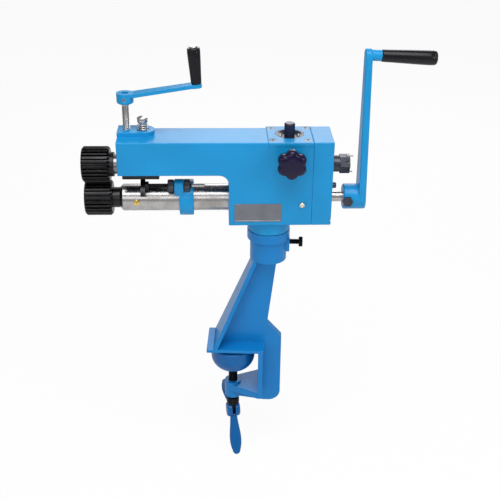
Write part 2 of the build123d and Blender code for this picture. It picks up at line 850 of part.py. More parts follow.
def roll_screw(axis, outer_end):
    """The cap screw that holds a roll on its shaft's end, sunk in the roll."""
    with BuildPart() as screw:
        with BuildSketch(axis.offset(outer_end + 0.4)):
            Circle(roll_screw_head)
            RegularPolygon(5.0, 6, major_radius=False, mode=Mode.SUBTRACT)
        extrude(amount=roll_recess - 0.4)
        with BuildSketch(axis.offset(outer_end + 3.0)):
            Circle(roll_screw_head)
        extrude(amount=roll_recess - 3.0)
        with BuildSketch(axis.offset(outer_end + roll_recess)):
            Circle(roll_screw_radius)
        extrude(amount=20.0)
    return screw


lower_roll_screw = roll_screw(tube_axis, -lower_roll_end)
upper_roll_screw = roll_screw(upper_line, -upper_roll_end)
lower_collar = turned(
    tube_axis,
    [(lower_roll_inner, lower_collar_radius), (-tube_start - gap, lower_collar_radius)],
    shaft_radius + seat,
)

# ================================================================ gears, keys and shafts
gear_pitch = gear_teeth * gear_module / 2
gear_base = gear_pitch * cos(radians(pressure_angle))


def involute(radius):
    """The involute function at a radius, in radians."""
    angle = acos(gear_base / radius)
    return tan(angle) - angle


half_at_pitch = (pi * gear_module / 4 - gear_backlash) / gear_pitch
base_half = half_at_pitch + involute(gear_pitch)
gear_tip = gear_pitch + gear_module * 0.8
gear_flank = [
    (gear_pitch - 1.3 * gear_module, degrees(base_half)),
    (gear_pitch, degrees(half_at_pitch)),
    (gear_tip, degrees(base_half - involute(gear_tip))),
]
key_low = shaft_radius - 2.8
key_high = shaft_radius + 2.2


def spur_gear(axis, start, width, first_tooth):
    """A spur gear with a keyway."""
    with BuildPart() as gear:
        with BuildSketch(axis.offset(start)):
            with BuildLine():
                Polyline(*tooth_points(gear_teeth, gear_flank, first_tooth), close=True)
            make_face()
            Circle(shaft_radius + seat, mode=Mode.SUBTRACT)
            with Locations((0, (key_low + key_high + running) / 2)):
                Rectangle(key_width + 2 * running, key_high - key_low + running, mode=Mode.SUBTRACT)
        extrude(amount=width)
    return gear


lower_gear = spur_gear(tube_axis, gear_start, gear_width, 90.0)
upper_gear = spur_gear(upper_line, upper_gear_start, upper_gear_width, -90.0 + 180 / gear_teeth)


def gear_key(axis, start, width):
    """A square key between a shaft and its gear."""
    with BuildPart() as key:
        with BuildSketch(axis.offset(start)):
            with Locations((0, (key_low + key_high) / 2)):
                Rectangle(key_width, key_high - key_low)
        extrude(amount=width)
    return key


lower_gear_key = gear_key(tube_axis, gear_start, gear_width)
upper_gear_key = gear_key(upper_line, upper_gear_start, upper_gear_width)


def shaft(axis, outline, key_start, key_length, screw_end):
    """A stepped shaft with its keyway and the thread for the roll's screw."""
    piece = turned(axis, outline)
    with BuildPart() as finished:
        add(piece.part)
        with BuildSketch(axis.offset(key_start)):
            with Locations((0, (key_low - running + shaft_radius + 1) / 2)):
                Rectangle(key_width + 2 * running, shaft_radius + 1 - key_low + running)
        extrude(amount=key_length, mode=Mode.SUBTRACT)
        with BuildSketch(axis.offset(screw_end)):
            Circle(roll_screw_radius + seat)
        extrude(amount=20.5, mode=Mode.SUBTRACT)
    return finished


stub_end = case_end + 0.8 + stub_length
lower_shaft = shaft(
    tube_axis,
    [
        (shaft_start, shaft_radius),
        (case_end + 0.8, shaft_radius),
        (case_end + 0.8, stub_radius),
        (stub_end, stub_radius),
    ],
    gear_start,
    gear_width,
    shaft_start,
)

sleeve_start = post_reach - sleeve_length / 2
sleeve_end = post_reach + sleeve_length / 2
nut_start = spacer_start + spacer_length
upper_shaft = shaft(
    upper_line,
    [
        (upper_shaft_start, shaft_radius),
        (nose_start, shaft_radius),
        (nose_start, nose_radius),
        (nose_start + nose_length, nose_radius),
        (nose_start + nose_length, shaft_radius),
        (sleeve_start - gap - shoulder_length, shaft_radius),
        (sleeve_start - gap - shoulder_length, shoulder_radius),
        (sleeve_start - gap, shoulder_radius),
        (sleeve_start - gap, shaft_radius),
        (sleeve_end + gap, shaft_radius),
        (sleeve_end + gap, shoulder_radius),
        (sleeve_end + gap + shoulder_length, shoulder_radius),
        (sleeve_end + gap + shoulder_length, shaft_radius),
        (spacer_start, shaft_radius),
        (spacer_start, shaft_radius - 1),
        (nut_start, shaft_radius - 1),
        (nut_start, thread_radius),
        (nut_start + nut_length + 1, thread_radius),
    ],
    upper_gear_start,
    upper_gear_width,
    upper_shaft_start,
)

groove_half = post_pin + groove_play
shift_sleeve = turned(
    upper_line,
    [
        (sleeve_start, sleeve_radius),
        (post_reach - groove_half, sleeve_radius),
        (post_reach - groove_half, sleeve_groove),
        (post_reach + groove_half, sleeve_groove),
        (post_reach + groove_half, sleeve_radius),
        (sleeve_end, sleeve_radius),
    ],
    shaft_radius + running,
)

rear_spacer = turned(
    upper_line, [(spacer_start, spacer_radius), (nut_start, spacer_radius)], shaft_radius - 1 + seat
)

with BuildPart() as castle_nut:
    with BuildSketch(across(nut_start, z=upper_axis)):
        RegularPolygon(nut_flats / 2, 6, major_radius=False)
        Circle(thread_radius + seat, mode=Mode.SUBTRACT)
    extrude(amount=nut_length)
    with BuildSketch(across(nut_start + nut_length - nut_slots, z=upper_axis)):
        for turn in (0, 60, 120):
            with Locations(Rotation(0, 0, turn)):
                Rectangle(3.2, nut_flats + 6)
    extrude(amount=nut_slots, mode=Mode.SUBTRACT)

pin_x = nut_start + nut_length - nut_slots + 2.0
with BuildPart() as split_pin:
    with BuildSketch(level(upper_axis - nut_flats / 2 - 1.0, pin_x)):
        Circle(split_pin_radius)
    extrude(amount=nut_flats + 2.0)
    for side in (-1, 1):
        with BuildSketch(across(pin_x, z=upper_axis + side * (nut_flats / 2 + 1.0 - split_pin_radius))):
            Circle(split_pin_radius)
        extrude(amount=8.0)
with BuildPart() as drilled_shaft:
    add(upper_shaft.part)
    with BuildSketch(level(upper_axis - nut_flats / 2, pin_x)):
        Circle(split_pin_radius + seat)
    extrude(amount=nut_flats, mode=Mode.SUBTRACT)

# ================================================================ front bearing of the upper shaft
with BuildPart() as bearing_block:
    with BuildSketch(front(block_back)):
        with Locations((-block_start + block_length / 2, (block_low + block_top) / 2)):
            Rectangle(block_length, block_top - block_low)
    extrude(amount=block_back + block_front)
    chamfer(bearing_block.edges().group_by(Axis.Z)[0], 1.0)
    with BuildSketch(across(-block_start, z=upper_axis)):
        Circle(block_bush + seat)
    extrude(amount=block_length, mode=Mode.SUBTRACT)
    with BuildSketch(level(block_top, -lift_reach)):
        Circle(lift_radius + seat)
    extrude(amount=-9.0, mode=Mode.SUBTRACT)

upper_front_bush = turned(
    upper_line,
    [(-block_start, block_bush), (-block_start + block_length, block_bush)],
    shaft_radius + running,
)

with BuildPart() as lifting_bolt:
    with BuildSketch(level(block_top - 8.8, -lift_reach)):
        Circle(lift_radius)
    extrude(amount=lift_head_height - block_top + 8.8)
    with BuildSketch(level(lift_head_height, -lift_reach)):
        RegularPolygon(lift_flats / 2, 6, major_radius=False)
    extrude(amount=lift_head)
    chamfer(lifting_bolt.edges().group_by(Axis.Z)[-1], 0.8)

spring_height = lift_head_height - lift_floor - spring_wire - 2 * gap
with BuildPart() as lifting_spring:
    with BuildLine(level(lift_floor + gap + spring_wire / 2, -lift_reach)):
        coil = Helix(spring_height / spring_turns, spring_height, spring_radius)
    with BuildSketch(Plane(coil @ 0, z_dir=coil % 0)):
        RegularPolygon(spring_wire / 2, 6)
    sweep(path=coil, is_frenet=True)

# ================================================================ pressure screw, button and crank
button_low = block_top + running
with BuildPart() as thrust_button:
    with BuildSketch(front(0, -press_reach, button_low)):
        with BuildLine():
            sag = button_dome - (button_dome**2 - button_radius**2) ** 0.5
            half_sag = button_dome - (button_dome**2 - button_radius**2 / 4) ** 0.5
            ThreePointArc((0, 0), (button_radius / 2, half_sag), (button_radius, sag))
            Polyline((button_radius, sag), (button_radius, button_height), (0, button_height), (0, 0))
        make_face()
    revolve(axis=Axis(head(-press_reach, 0, 0), (0, 0, 1)))

press_low = button_low + button_height + running
pressure_screw = turned(level(0, -press_reach), [(press_low, press_radius), (press_top, press_radius)])

grip_foot_x = -press_reach + press_crank_radius
arm_low = press_hub_high - press_arm_thickness
with BuildPart() as pressure_crank:
    with BuildSketch(front(0)):
        with BuildLine():
            Polyline(
                (-press_reach, arm_low),
                (-press_reach + press_hub_radius, arm_low),
                (grip_foot_x - press_arm_end, arm_low + press_arm_rise),
                (grip_foot_x + press_arm_end, arm_low + press_arm_rise + 0.8),
                (grip_foot_x + press_arm_end, press_hub_high + press_arm_rise + 0.8),
                (grip_foot_x - press_arm_end, press_hub_high + press_arm_rise),
                (-press_reach + press_hub_radius, press_hub_high),
                (-press_reach, press_hub_high),
                close=True,
            )
        make_face()
    extrude(amount=press_hub_radius, both=True)
    with BuildSketch(level(press_hub_low)):
        with Locations((-press_reach, 0)):
            Circle(press_hub_radius - 2.5)
        with Locations((grip_foot_x, 0)):
            Circle(press_arm_end)
        make_hull()
    extrude(amount=head_height, mode=Mode.INTERSECT)
    with BuildSketch(level(press_hub_low, -press_reach)):
        Circle(press_hub_radius)
    extrude(amount=press_hub_high - press_hub_low)
    fillet(pressure_crank.edges().group_by(Axis.Z)[0], 3.0)
    with BuildSketch(level(press_hub_low, -press_reach)):
        Circle(press_radius + seat)
    extrude(amount=press_hub_high, mode=Mode.SUBTRACT)
    with BuildSketch(front(0, -press_reach, press_hub_low + 7.0)):
        Circle(2.5 + seat)
    extrude(amount=press_hub_radius + 1, mode=Mode.SUBTRACT)
    with BuildSketch(level(arm_low, grip_foot_x)):
        Circle(press_pin_radius + seat)
    extrude(amount=head_height, mode=Mode.SUBTRACT)

with BuildPart() as pressure_set_screw:
    with BuildSketch(front(-press_radius - running, -press_reach, press_hub_low + 7.0)):
        Circle(2.5)
    extrude(amount=press_hub_radius - press_radius - 1.0)
    with BuildSketch(front(-press_hub_radius + 3.0, -press_reach, press_hub_low + 7.0)):
        RegularPolygon(1.4, 6, major_radius=False)
    extrude(amount=3.0, mode=Mode.SUBTRACT)

grip_foot_z = press_hub_high + press_arm_rise + 1.0
press_grip_axis = Plane(
    head(grip_foot_x, 0, grip_foot_z),
    x_dir=(cos(radians(press_grip_tilt)), 0, sin(radians(press_grip_tilt))),
    z_dir=(-sin(radians(press_grip_tilt)), 0, cos(radians(press_grip_tilt))),
)
pressure_grip = turned(
    press_grip_axis,
    [
        (0, press_grip_low - 0.6),
        (0.6, press_grip_low),
        (press_grip_length * 0.55, press_grip_high - 0.4),
        (press_grip_length - 3.0, press_grip_high),
        (press_grip_length, press_grip_high - 0.8),
    ],
    press_pin_radius + running,
)
with BuildPart() as pressure_grip_bolt:
    with BuildSketch(level(grip_foot_z - press_arm_thickness - 0.8, grip_foot_x)):
        Circle(press_pin_radius - 0.2)
    extrude(amount=press_arm_thickness + 0.7)
    with BuildSketch(press_grip_axis.offset(-0.3)):
        Circle(press_pin_radius)
    extrude(amount=press_grip_length + 0.3 + gap)
    with BuildSketch(press_grip_axis.offset(press_grip_length + gap)):
        Circle(press_grip_high - 3.2)
    extrude(amount=2.4)
    chamfer(pressure_grip_bolt.edges().group_by(Axis.Z)[-1], 0.6)

# ================================================================ main crank and grip
crank_top = lower_axis + crank_radius
hub_end = crank_start + crank_hub_length
grip_way = Vector(cos(radians(grip_droop)), 0, -sin(radians(grip_droop)))
grip_axis = Plane(head(crank_boss_reach, 0, crank_top), x_dir=(0, 1, 0), z_dir=grip_way)

with BuildPart() as main_crank:
    with BuildSketch(front(0)):
        with BuildLine():
            foot = lower_axis - crank_hub_radius
            top = crank_top + crank_end
            Polyline(
                (hub_end, foot),
                (hub_end + crank_arm_low, foot),
                (hub_end + crank_arm_low - crank_lean - 1.5, top),
                (hub_end - crank_lean, top),
                close=True,
            )
        make_face()
    extrude(amount=crank_hub_radius, both=True)
    with BuildSketch(across(crank_start)):
        with Locations((0, lower_axis)):
            Circle(crank_hub_radius)
        with Locations((0, crank_top)):
            Circle(crank_end)
        make_hull()
    extrude(amount=crank_boss_reach, mode=Mode.INTERSECT)
    fillet(main_crank.edges().filter_by(Axis.X, reverse=True), 2.2)
    with BuildSketch(across(crank_start, z=lower_axis)):
        Circle(crank_hub_radius)
    extrude(amount=crank_hub_length + 3.0)
    with BuildSketch(grip_axis.offset(-crank_boss_reach + hub_end)):
        Circle(crank_boss_radius)
    extrude(amount=crank_boss_reach - hub_end)
    chamfer(main_crank.edges().group_by(Axis.X)[0], 1.5)
    with BuildSketch(across(crank_start, z=lower_axis)):
        Circle(stub_radius + seat)
    extrude(amount=stub_end - crank_start + gap, mode=Mode.SUBTRACT)
    with BuildSketch(front(0, crank_screw_reach, lower_axis)):
        Circle(crank_screw_radius + seat)
    extrude(amount=crank_hub_radius + 1, mode=Mode.SUBTRACT)
    with BuildSketch(grip_axis.offset(-14.0)):
        Circle(grip_pin_radius + seat)
    extrude(amount=15.0, mode=Mode.SUBTRACT)

with BuildPart() as crank_set_screw:
    with BuildSketch(front(-stub_radius - running, crank_screw_reach, lower_axis)):
        Circle(crank_screw_radius)
    extrude(amount=crank_hub_radius - stub_radius)
    with BuildSketch(front(-crank_hub_radius, crank_screw_reach, lower_axis)):
        RegularPolygon(crank_screw_flats / 2, 6, major_radius=False)
    extrude(amount=4.5)

main_grip = turned(
    grip_axis,
    [
        (gap, grip_low - 0.5),
        (gap + 0.8, grip_low),
        (grip_length * 0.35, grip_high - 0.9),
        (grip_length * 0.7, grip_high),
        (grip_length - 3.5, grip_high - 0.1),
        (grip_length, grip_high - 2.2),
    ],
    grip_pin_radius + running,
)
with BuildPart() as bored_grip:
    add(main_grip.part)
    with BuildSketch(grip_axis.offset(grip_length - 4.0)):
        Circle(grip_cap)
    extrude(amount=5.0, mode=Mode.SUBTRACT)
with BuildPart() as main_grip_bolt:
    with BuildSketch(grip_axis.offset(-13.5)):
        Circle(grip_pin_radius)
    extrude(amount=grip_length + 9.8)
    with BuildSketch(grip_axis.offset(grip_length - 3.7)):
        Circle(grip_cap - 0.2)
        RegularPolygon(2.5, 6, major_radius=False, mode=Mode.SUBTRACT)
    extrude(amount=3.2)

# ================================================================ eccentric post, star knob and slug
with BuildPart() as eccentric_post:
    with BuildSketch(front(0, post_reach)):
        with BuildLine():
            Polyline(
                (0, post_shank_low),
                (post_shank, post_shank_low),
                (post_shank, deck + running),
                (post_disc, deck + running),
                (post_disc, head_height),
                (post_disc - 2.4, head_height),
                (post_stem + 2.0, head_height - 3.4),
                (post_stem, head_height - 3.4),
                (post_stem, post_top - 1.2),
                (post_stem - 1.2, post_top),
                (0, post_top),
                close=True,
            )
        make_face()
    revolve(axis=Axis(head(post_reach, 0, 0), (0, 0, 1)))
    with BuildSketch(level(post_shank_low, post_reach, -post_offset)):
        Circle(post_pin)
    extrude(amount=-(post_shank_low - upper_axis - sleeve_groove - 1.8))

stud_end = post_shank + running + knob_slug
knob_slug_piece = turned(knob_axis, [(post_shank + running, knob_stud), (stud_end, knob_stud)])

with BuildPart() as star_knob:
    with BuildSketch(knob_axis.offset(knob_front - knob_thickness)):
        Circle(knob_radius - knob_lobe + 1.5)
        with PolarLocations(knob_radius - knob_lobe, knob_lobes, 90):
            Circle(knob_lobe)
    extrude(amount=knob_thickness)
    chamfer(star_knob.edges().group_by(Axis.Y)[0], 2.4)
    chamfer(star_knob.edges().group_by(Axis.Y)[-1], 1.6)
    with BuildSketch(knob_axis.offset(knob_front - knob_thickness - knob_hub_length)):
        Circle(knob_hub)
    extrude(amount=knob_hub_length)
    with BuildSketch(knob_axis.offset(stud_end)):
        Circle(knob_stud)
    extrude(amount=knob_front - knob_thickness - stud_end)

# ================================================================ edge gauge
with BuildPart() as gauge_collar:
    with BuildSketch(across(-ring_start, z=lower_axis)):
        Circle(ring_radius)
    extrude(amount=ring_length)
    with BuildSketch(across(-ear_start, z=lower_axis)):
        with Locations((rod_y, rod_z - lower_axis)):
            Circle(ear_radius)
        with Locations((-ring_radius + 7.0, 0)):
            Circle(7.0)
        with Locations((0, 0)):
            Circle(8.0)
        make_hull()
    extrude(amount=ear_length)
    with BuildSketch(across(-ear_start + ear_plate, rod_y, rod_z)):
        Circle(ear_radius + 0.6)
    extrude(amount=ear_length - ear_plate, mode=Mode.SUBTRACT)
    with BuildSketch(across(-ear_start, rod_y, rod_z)):
        Circle(rod_radius + running)
    extrude(amount=ear_length, mode=Mode.SUBTRACT)
    with BuildSketch(across(-ear_start - 1, z=lower_axis)):
        Circle(tube_radius + running)
    extrude(amount=ear_length + 6, mode=Mode.SUBTRACT)
    with BuildSketch(front(tube_radius, -ring_start + ring_length / 2, lower_axis)):
        Circle(3.0 + seat)
    extrude(amount=-ring_radius, mode=Mode.SUBTRACT)

with BuildPart() as gauge_clamp_screw:
    with BuildSketch(front(tube_radius + running, -ring_start + ring_length / 2, lower_axis)):
        Circle(3.0)
    extrude(amount=-(ring_radius - tube_radius + 0.1))
    with BuildSketch(front(ring_radius + 0.1, -ring_start + ring_length / 2, lower_axis)):
        Circle(5.0)
        RegularPolygon(2.5, 6, major_radius=False, mode=Mode.SUBTRACT)
    extrude(amount=-5.0)

knurl = [(nut_radius - 0.6, 360 / nut_teeth * 0.42), (nut_radius, 360 / nut_teeth * 0.2)]
with BuildPart() as gauge_nuts:
    for start in (-ear_start - running - nut_width, -ear_start + ear_plate + running):
        with BuildSketch(across(start, rod_y, rod_z)):
            with BuildLine():
                Polyline(*tooth_points(nut_teeth, knurl, 0.0), close=True)
            make_face()
            Circle(rod_radius + running, mode=Mode.SUBTRACT)
        extrude(amount=nut_width)

stop_rod = turned(across(0, rod_y, rod_z), [(-rod_start, rod_radius), (-rod_start + rod_length, rod_radius)])

with BuildPart() as gauge_stop:
    with BuildSketch(across(-stop_start, z=lower_axis)):
        with BuildLine():
            angles = [radians(90 + stop_from + share * (stop_to - stop_from)) for share in (0, 0.5, 1)]
            inner = [(stop_inner * cos(angle), stop_inner * sin(angle)) for angle in angles]
            outer = [(stop_outer * cos(angle), stop_outer * sin(angle)) for angle in angles]
            ThreePointArc(*inner)
            ThreePointArc(*outer)
            Line(inner[0], outer[0])
            Line(inner[2], outer[2])
        make_face()
    extrude(amount=stop_thickness)
    with BuildSketch(across(-stop_start + stop_thickness, rod_y, rod_z)):
        Circle(stop_hub)
    extrude(amount=stop_hub_length)
    with BuildSketch(across(-rod_start, rod_y, rod_z)):
        Circle(rod_radius + seat)
    extrude(amount=stop_hub_length + stop_thickness, mode=Mode.SUBTRACT)

# ================================================================ small fittings
with BuildPart() as name_plate:
    with BuildSketch(front(-front_depth)):
        with Locations((-label_left + label_length / 2, label_low + label_height / 2)):
            RectangleRounded(label_length, label_height, 1.0)
    extrude(amount=label_thickness)

oiler_axis = front(-front_depth, oiler_reach, oiler_height)
oiler_neck = oiler_radius - 0.6
ball_oiler = turned(
    oiler_axis,
    [(-wall + 1, oiler_neck), (0, oiler_neck), (0, oiler_radius), (1.2, oiler_radius), (2.4, 1.8)],
)
nipple_axis = front(-tube_radius, -nipple_reach, lower_axis)
grease_nipple = turned(
    nipple_axis,
    [(0, nipple_radius), (2.2, nipple_radius), (2.8, 2.2), (4.4, 1.6), (5.0, 2.2), (6.2, 2.2), (6.8, 1.2)],
)
cup_axis = across(case_end, z=oil_cup_height)
rear_oil_cup = turned(
    cup_axis,
    [
        (-side_wall + 1, oil_cup_radius / 2),
        (0, oil_cup_radius / 2),
        (0, oil_cup_radius - 0.8),
        (4.0, oil_cup_radius - 0.8),
        (4.0, oil_cup_radius),
        (oil_cup_length - 1, oil_cup_radius),
        (oil_cup_length, oil_cup_radius - 1),
    ],
)

# ================================================================ write the pieces
pieces = {
    "bench_clamp_stand": bench_clamp_stand,
    "swivel_lock_slug": swivel_lock_slug,
    "swivel_lock_bolt": swivel_lock_bolt,
    "clamp_pad": clamp_pad,
    "clamp_screw": clamp_screw,
    "clamp_handle_pin": clamp_handle_pin,
    "clamp_handle": clamp_handle,
    "arm_housing": arm_housing,
    "gear_case_cover": gear_case_cover,
    "cover_screws": cover_screws,
    "top_plate": top_plate,
    "top_plate_screws": top_plate_screws,
    "swivel_post": swivel_post,
    "swivel_post_screws": swivel_post_screws,
    "lower_shaft_tube": lower_shaft_tube,
    "tube_bush": tube_bush,
    "lower_rear_bush": lower_rear_bush,
    "upper_rear_bush": upper_rear_bush,
    "lower_roll": lower_roll,
    "upper_roll": upper_roll,
    "lower_roll_screw": lower_roll_screw,
    "upper_roll_screw": upper_roll_screw,
    "lower_collar": lower_collar,
    "lower_gear": lower_gear,
    "upper_gear": upper_gear,
    "lower_gear_key": lower_gear_key,
    "upper_gear_key": upper_gear_key,
    "lower_shaft": lower_shaft,
    "upper_shaft": drilled_shaft,
    "shift_sleeve": shift_sleeve,
    "rear_spacer": rear_spacer,
    "castle_nut": castle_nut,
    "split_pin": split_pin,
    "bearing_block": bearing_block,
    "upper_front_bush": upper_front_bush,
    "lifting_bolt": lifting_bolt,
    "lifting_spring": lifting_spring,
    "thrust_button": thrust_button,
    "pressure_screw": pressure_screw,
    "pressure_crank": pressure_crank,
    "pressure_set_screw": pressure_set_screw,
    "pressure_grip": pressure_grip,
    "pressure_grip_bolt": pressure_grip_bolt,
    "main_crank": main_crank,
    "crank_set_screw": crank_set_screw,
    "main_grip": bored_grip,
    "main_grip_bolt": main_grip_bolt,
    "eccentric_post": eccentric_post,
    "knob_slug": knob_slug_piece,
    "star_knob": star_knob,
    "gauge_collar": gauge_collar,
    "gauge_clamp_screw": gauge_clamp_screw,
    "gauge_nuts": gauge_nuts,
    "stop_rod": stop_rod,
    "gauge_stop": gauge_stop,
    "name_plate": name_plate,
    "ball_oiler": ball_oiler,
    "grease_nipple": grease_nipple,
    "rear_oil_cup": rear_oil_cup,
}
os.makedirs("parts", exist_ok=True)
for name, piece in pieces.items():
    piece.part.label = name
    export_step(piece.part, f"parts/{name}.step")
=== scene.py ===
from math import atan2, cos, pi, radians, sin, sqrt

import bmesh
import bpy
from mathutils import Matrix, Vector


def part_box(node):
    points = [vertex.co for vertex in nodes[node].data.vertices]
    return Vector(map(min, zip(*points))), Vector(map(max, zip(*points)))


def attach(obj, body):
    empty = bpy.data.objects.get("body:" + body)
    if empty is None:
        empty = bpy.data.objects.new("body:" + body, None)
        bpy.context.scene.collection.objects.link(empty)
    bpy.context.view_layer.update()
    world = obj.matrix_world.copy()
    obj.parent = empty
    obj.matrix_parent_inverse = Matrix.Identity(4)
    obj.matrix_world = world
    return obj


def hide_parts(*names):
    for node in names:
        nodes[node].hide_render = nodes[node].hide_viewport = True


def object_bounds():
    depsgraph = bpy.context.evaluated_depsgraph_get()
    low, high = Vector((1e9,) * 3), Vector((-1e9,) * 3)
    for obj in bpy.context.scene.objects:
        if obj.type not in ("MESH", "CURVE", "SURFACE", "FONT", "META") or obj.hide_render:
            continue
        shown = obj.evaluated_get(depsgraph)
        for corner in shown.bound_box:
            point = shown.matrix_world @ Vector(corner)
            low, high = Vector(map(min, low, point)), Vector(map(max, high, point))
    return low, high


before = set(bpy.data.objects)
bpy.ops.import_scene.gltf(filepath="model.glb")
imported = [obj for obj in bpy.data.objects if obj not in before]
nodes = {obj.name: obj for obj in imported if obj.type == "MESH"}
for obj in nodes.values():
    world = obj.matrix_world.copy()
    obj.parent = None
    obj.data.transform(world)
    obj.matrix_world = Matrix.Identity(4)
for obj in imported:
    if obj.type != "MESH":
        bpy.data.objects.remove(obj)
cad_low, cad_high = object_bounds()

MM = 0.001
BUMP_DISTANCE = 0.0002

# ---------------------------------------------------------------- places shared with the CAD model
STAND_TURN = radians(-3.58)
CLAMP_REACH = 51.7
SWIVEL = Vector((CLAMP_REACH * cos(STAND_TURN), CLAMP_REACH * sin(STAND_TURN), 0))
HEAD_FLOOR = 218.5
LOWER_AXIS = 28.4


def head(x, y, z):
    """A point in millimetres from the swivel axis and the housing's underside, as metres."""
    return (SWIVEL + Vector((x, y, HEAD_FLOOR + z))) * MM


# ---------------------------------------------------------------- shader node groups
def node_group(name, inputs, outputs):
    """An empty shader node group with named sockets. Each input is (name, kind, value)."""
    group = bpy.data.node_groups.new(name, "ShaderNodeTree")
    for label, kind, value in inputs:
        socket = group.interface.new_socket(name=label, in_out="INPUT", socket_type=kind)
        socket.default_value = value
    for label, kind in outputs:
        group.interface.new_socket(name=label, in_out="OUTPUT", socket_type=kind)
    source = group.nodes.new("NodeGroupInput")
    sink = group.nodes.new("NodeGroupOutput")
    return group, source.outputs, sink.inputs


def add_node(tree, kind, settings=None, values=None, links=None):
    """A node with its settings, its socket values and what feeds its sockets."""
    node = tree.nodes.new(kind)
    for label, value in (settings or {}).items():
        setattr(node, label, value)
    for label, value in (values or {}).items():
        node.inputs[label].default_value = value
    for label, output in (links or {}).items():
        tree.links.new(output, node.inputs[label])
    return node


def blend_colors(tree, factor, first, second):
    """Mixes two colours, each a socket, by a factor socket."""
    node = tree.nodes.new("ShaderNodeMix")
    node.data_type = "RGBA"
    tree.links.new(factor, node.inputs[0])
    tree.links.new(first, node.inputs[6])
    tree.links.new(second, node.inputs[7])
    return node.outputs[2]


def noise(tree, place, scale, detail):
    """A noise over place. Its scale is a number or a socket."""
    node = add_node(tree, "ShaderNodeTexNoise", values={"Detail": detail}, links={"Vector": place})
    if isinstance(scale, float):
        node.inputs["Scale"].default_value = scale
    else:
        tree.links.new(scale, node.inputs["Scale"])
    return node


SURFACE_OUTPUTS = [
    ("Color", "NodeSocketColor"),
    ("Roughness", "NodeSocketFloat"),
    ("Height", "NodeSocketFloat"),
]


def make_edge_group():
    """Rounds the normal at edges and gives a broken mask along them for painted highlights."""
    group, given, out = node_group(
        "Rounded edges",
        [
            ("Radius", "NodeSocketFloat", 0.0006),
            ("Spread", "NodeSocketFloat", 0.25),
            ("Grain", "NodeSocketFloat", 260.0),
        ],
        [("Mask", "NodeSocketFloat"), ("Normal", "NodeSocketVector")],
    )
    place = add_node(group, "ShaderNodeTexCoord").outputs["Object"]
    true_normal = add_node(group, "ShaderNodeNewGeometry").outputs["Normal"]
    bevel = add_node(group, "ShaderNodeBevel", {"samples": 6}, links={"Radius": given["Radius"]})
    likeness = add_node(
        group,
        "ShaderNodeVectorMath",
        {"operation": "DOT_PRODUCT"},
        links={0: bevel.outputs[0], 1: true_normal},
    )
    grain = noise(group, place, given["Grain"], detail=4.0)
    turned = add_node(
        group,
        "ShaderNodeMath",
        {"operation": "SUBTRACT"},
        {0: 1.0},
        {1: likeness.outputs["Value"]},
    )
    broken = add_node(
        group,
        "ShaderNodeMath",
        {"operation": "MULTIPLY"},
        links={0: turned.outputs[0], 1: grain.outputs["Fac"]},
    )
    # the mask marks the edges that the materials paint lighter as a highlight
    mask = add_node(
        group,
        "ShaderNodeMapRange",
        values={"From Min": 0.01, "To Min": 0.0, "To Max": 1.0},
        links={"Value": broken.outputs[0], "From Max": given["Spread"]},
    )
    group.links.new(mask.outputs["Result"], out["Mask"])
    group.links.new(bevel.outputs[0], out["Normal"])
    return group


def make_paint_group():
    """Sprayed enamel over a casting: colour drift, painted highlights along edges, orange peel and
    the casting.
    """
    group, given, out = node_group(
        "Cast enamel",
        [
            ("Paint", "NodeSocketColor", (0.03, 0.25, 0.55, 1)),
            ("Paint edge highlight", "NodeSocketColor", (0.2, 0.45, 0.7, 1)),
            ("Edge", "NodeSocketFloat", 0.0),
            ("Peel", "NodeSocketFloat", 700.0),
            ("Casting", "NodeSocketFloat", 90.0),
            ("Gloss", "NodeSocketFloat", 0.28),
        ],
        SURFACE_OUTPUTS,
    )
    place = add_node(group, "ShaderNodeTexCoord").outputs["Object"]
    drift = noise(group, place, 14.0, detail=3.0)
    peel = noise(group, place, given["Peel"], detail=1.0)
    casting = noise(group, place, given["Casting"], detail=5.0)
    tone = add_node(
        group,
        "ShaderNodeMapRange",
        values={"From Min": 0.3, "From Max": 0.7, "To Min": 0.93, "To Max": 1.07},
        links={"Value": drift.outputs["Fac"]},
    )
    shaded = add_node(
        group,
        "ShaderNodeHueSaturation",
        links={"Color": given["Paint"], "Value": tone.outputs["Result"]},
    )
    # painted highlight: the lighter paint along edges
    color = blend_colors(group, given["Edge"], shaded.outputs[0], given["Paint edge highlight"])
    rough = add_node(
        group,
        "ShaderNodeMath",
        {"operation": "MULTIPLY_ADD"},
        {1: 0.12},
        {0: casting.outputs["Fac"], 2: given["Gloss"]},
    )
    height = add_node(
        group,
        "ShaderNodeMath",
        {"operation": "MULTIPLY_ADD"},
        {1: 0.35},
        {0: peel.outputs["Fac"], 2: casting.outputs["Fac"]},
    )
    group.links.new(color, out["Color"])
    group.links.new(rough.outputs[0], out["Roughness"])
    group.links.new(height.outputs[0], out["Height"])
    return group


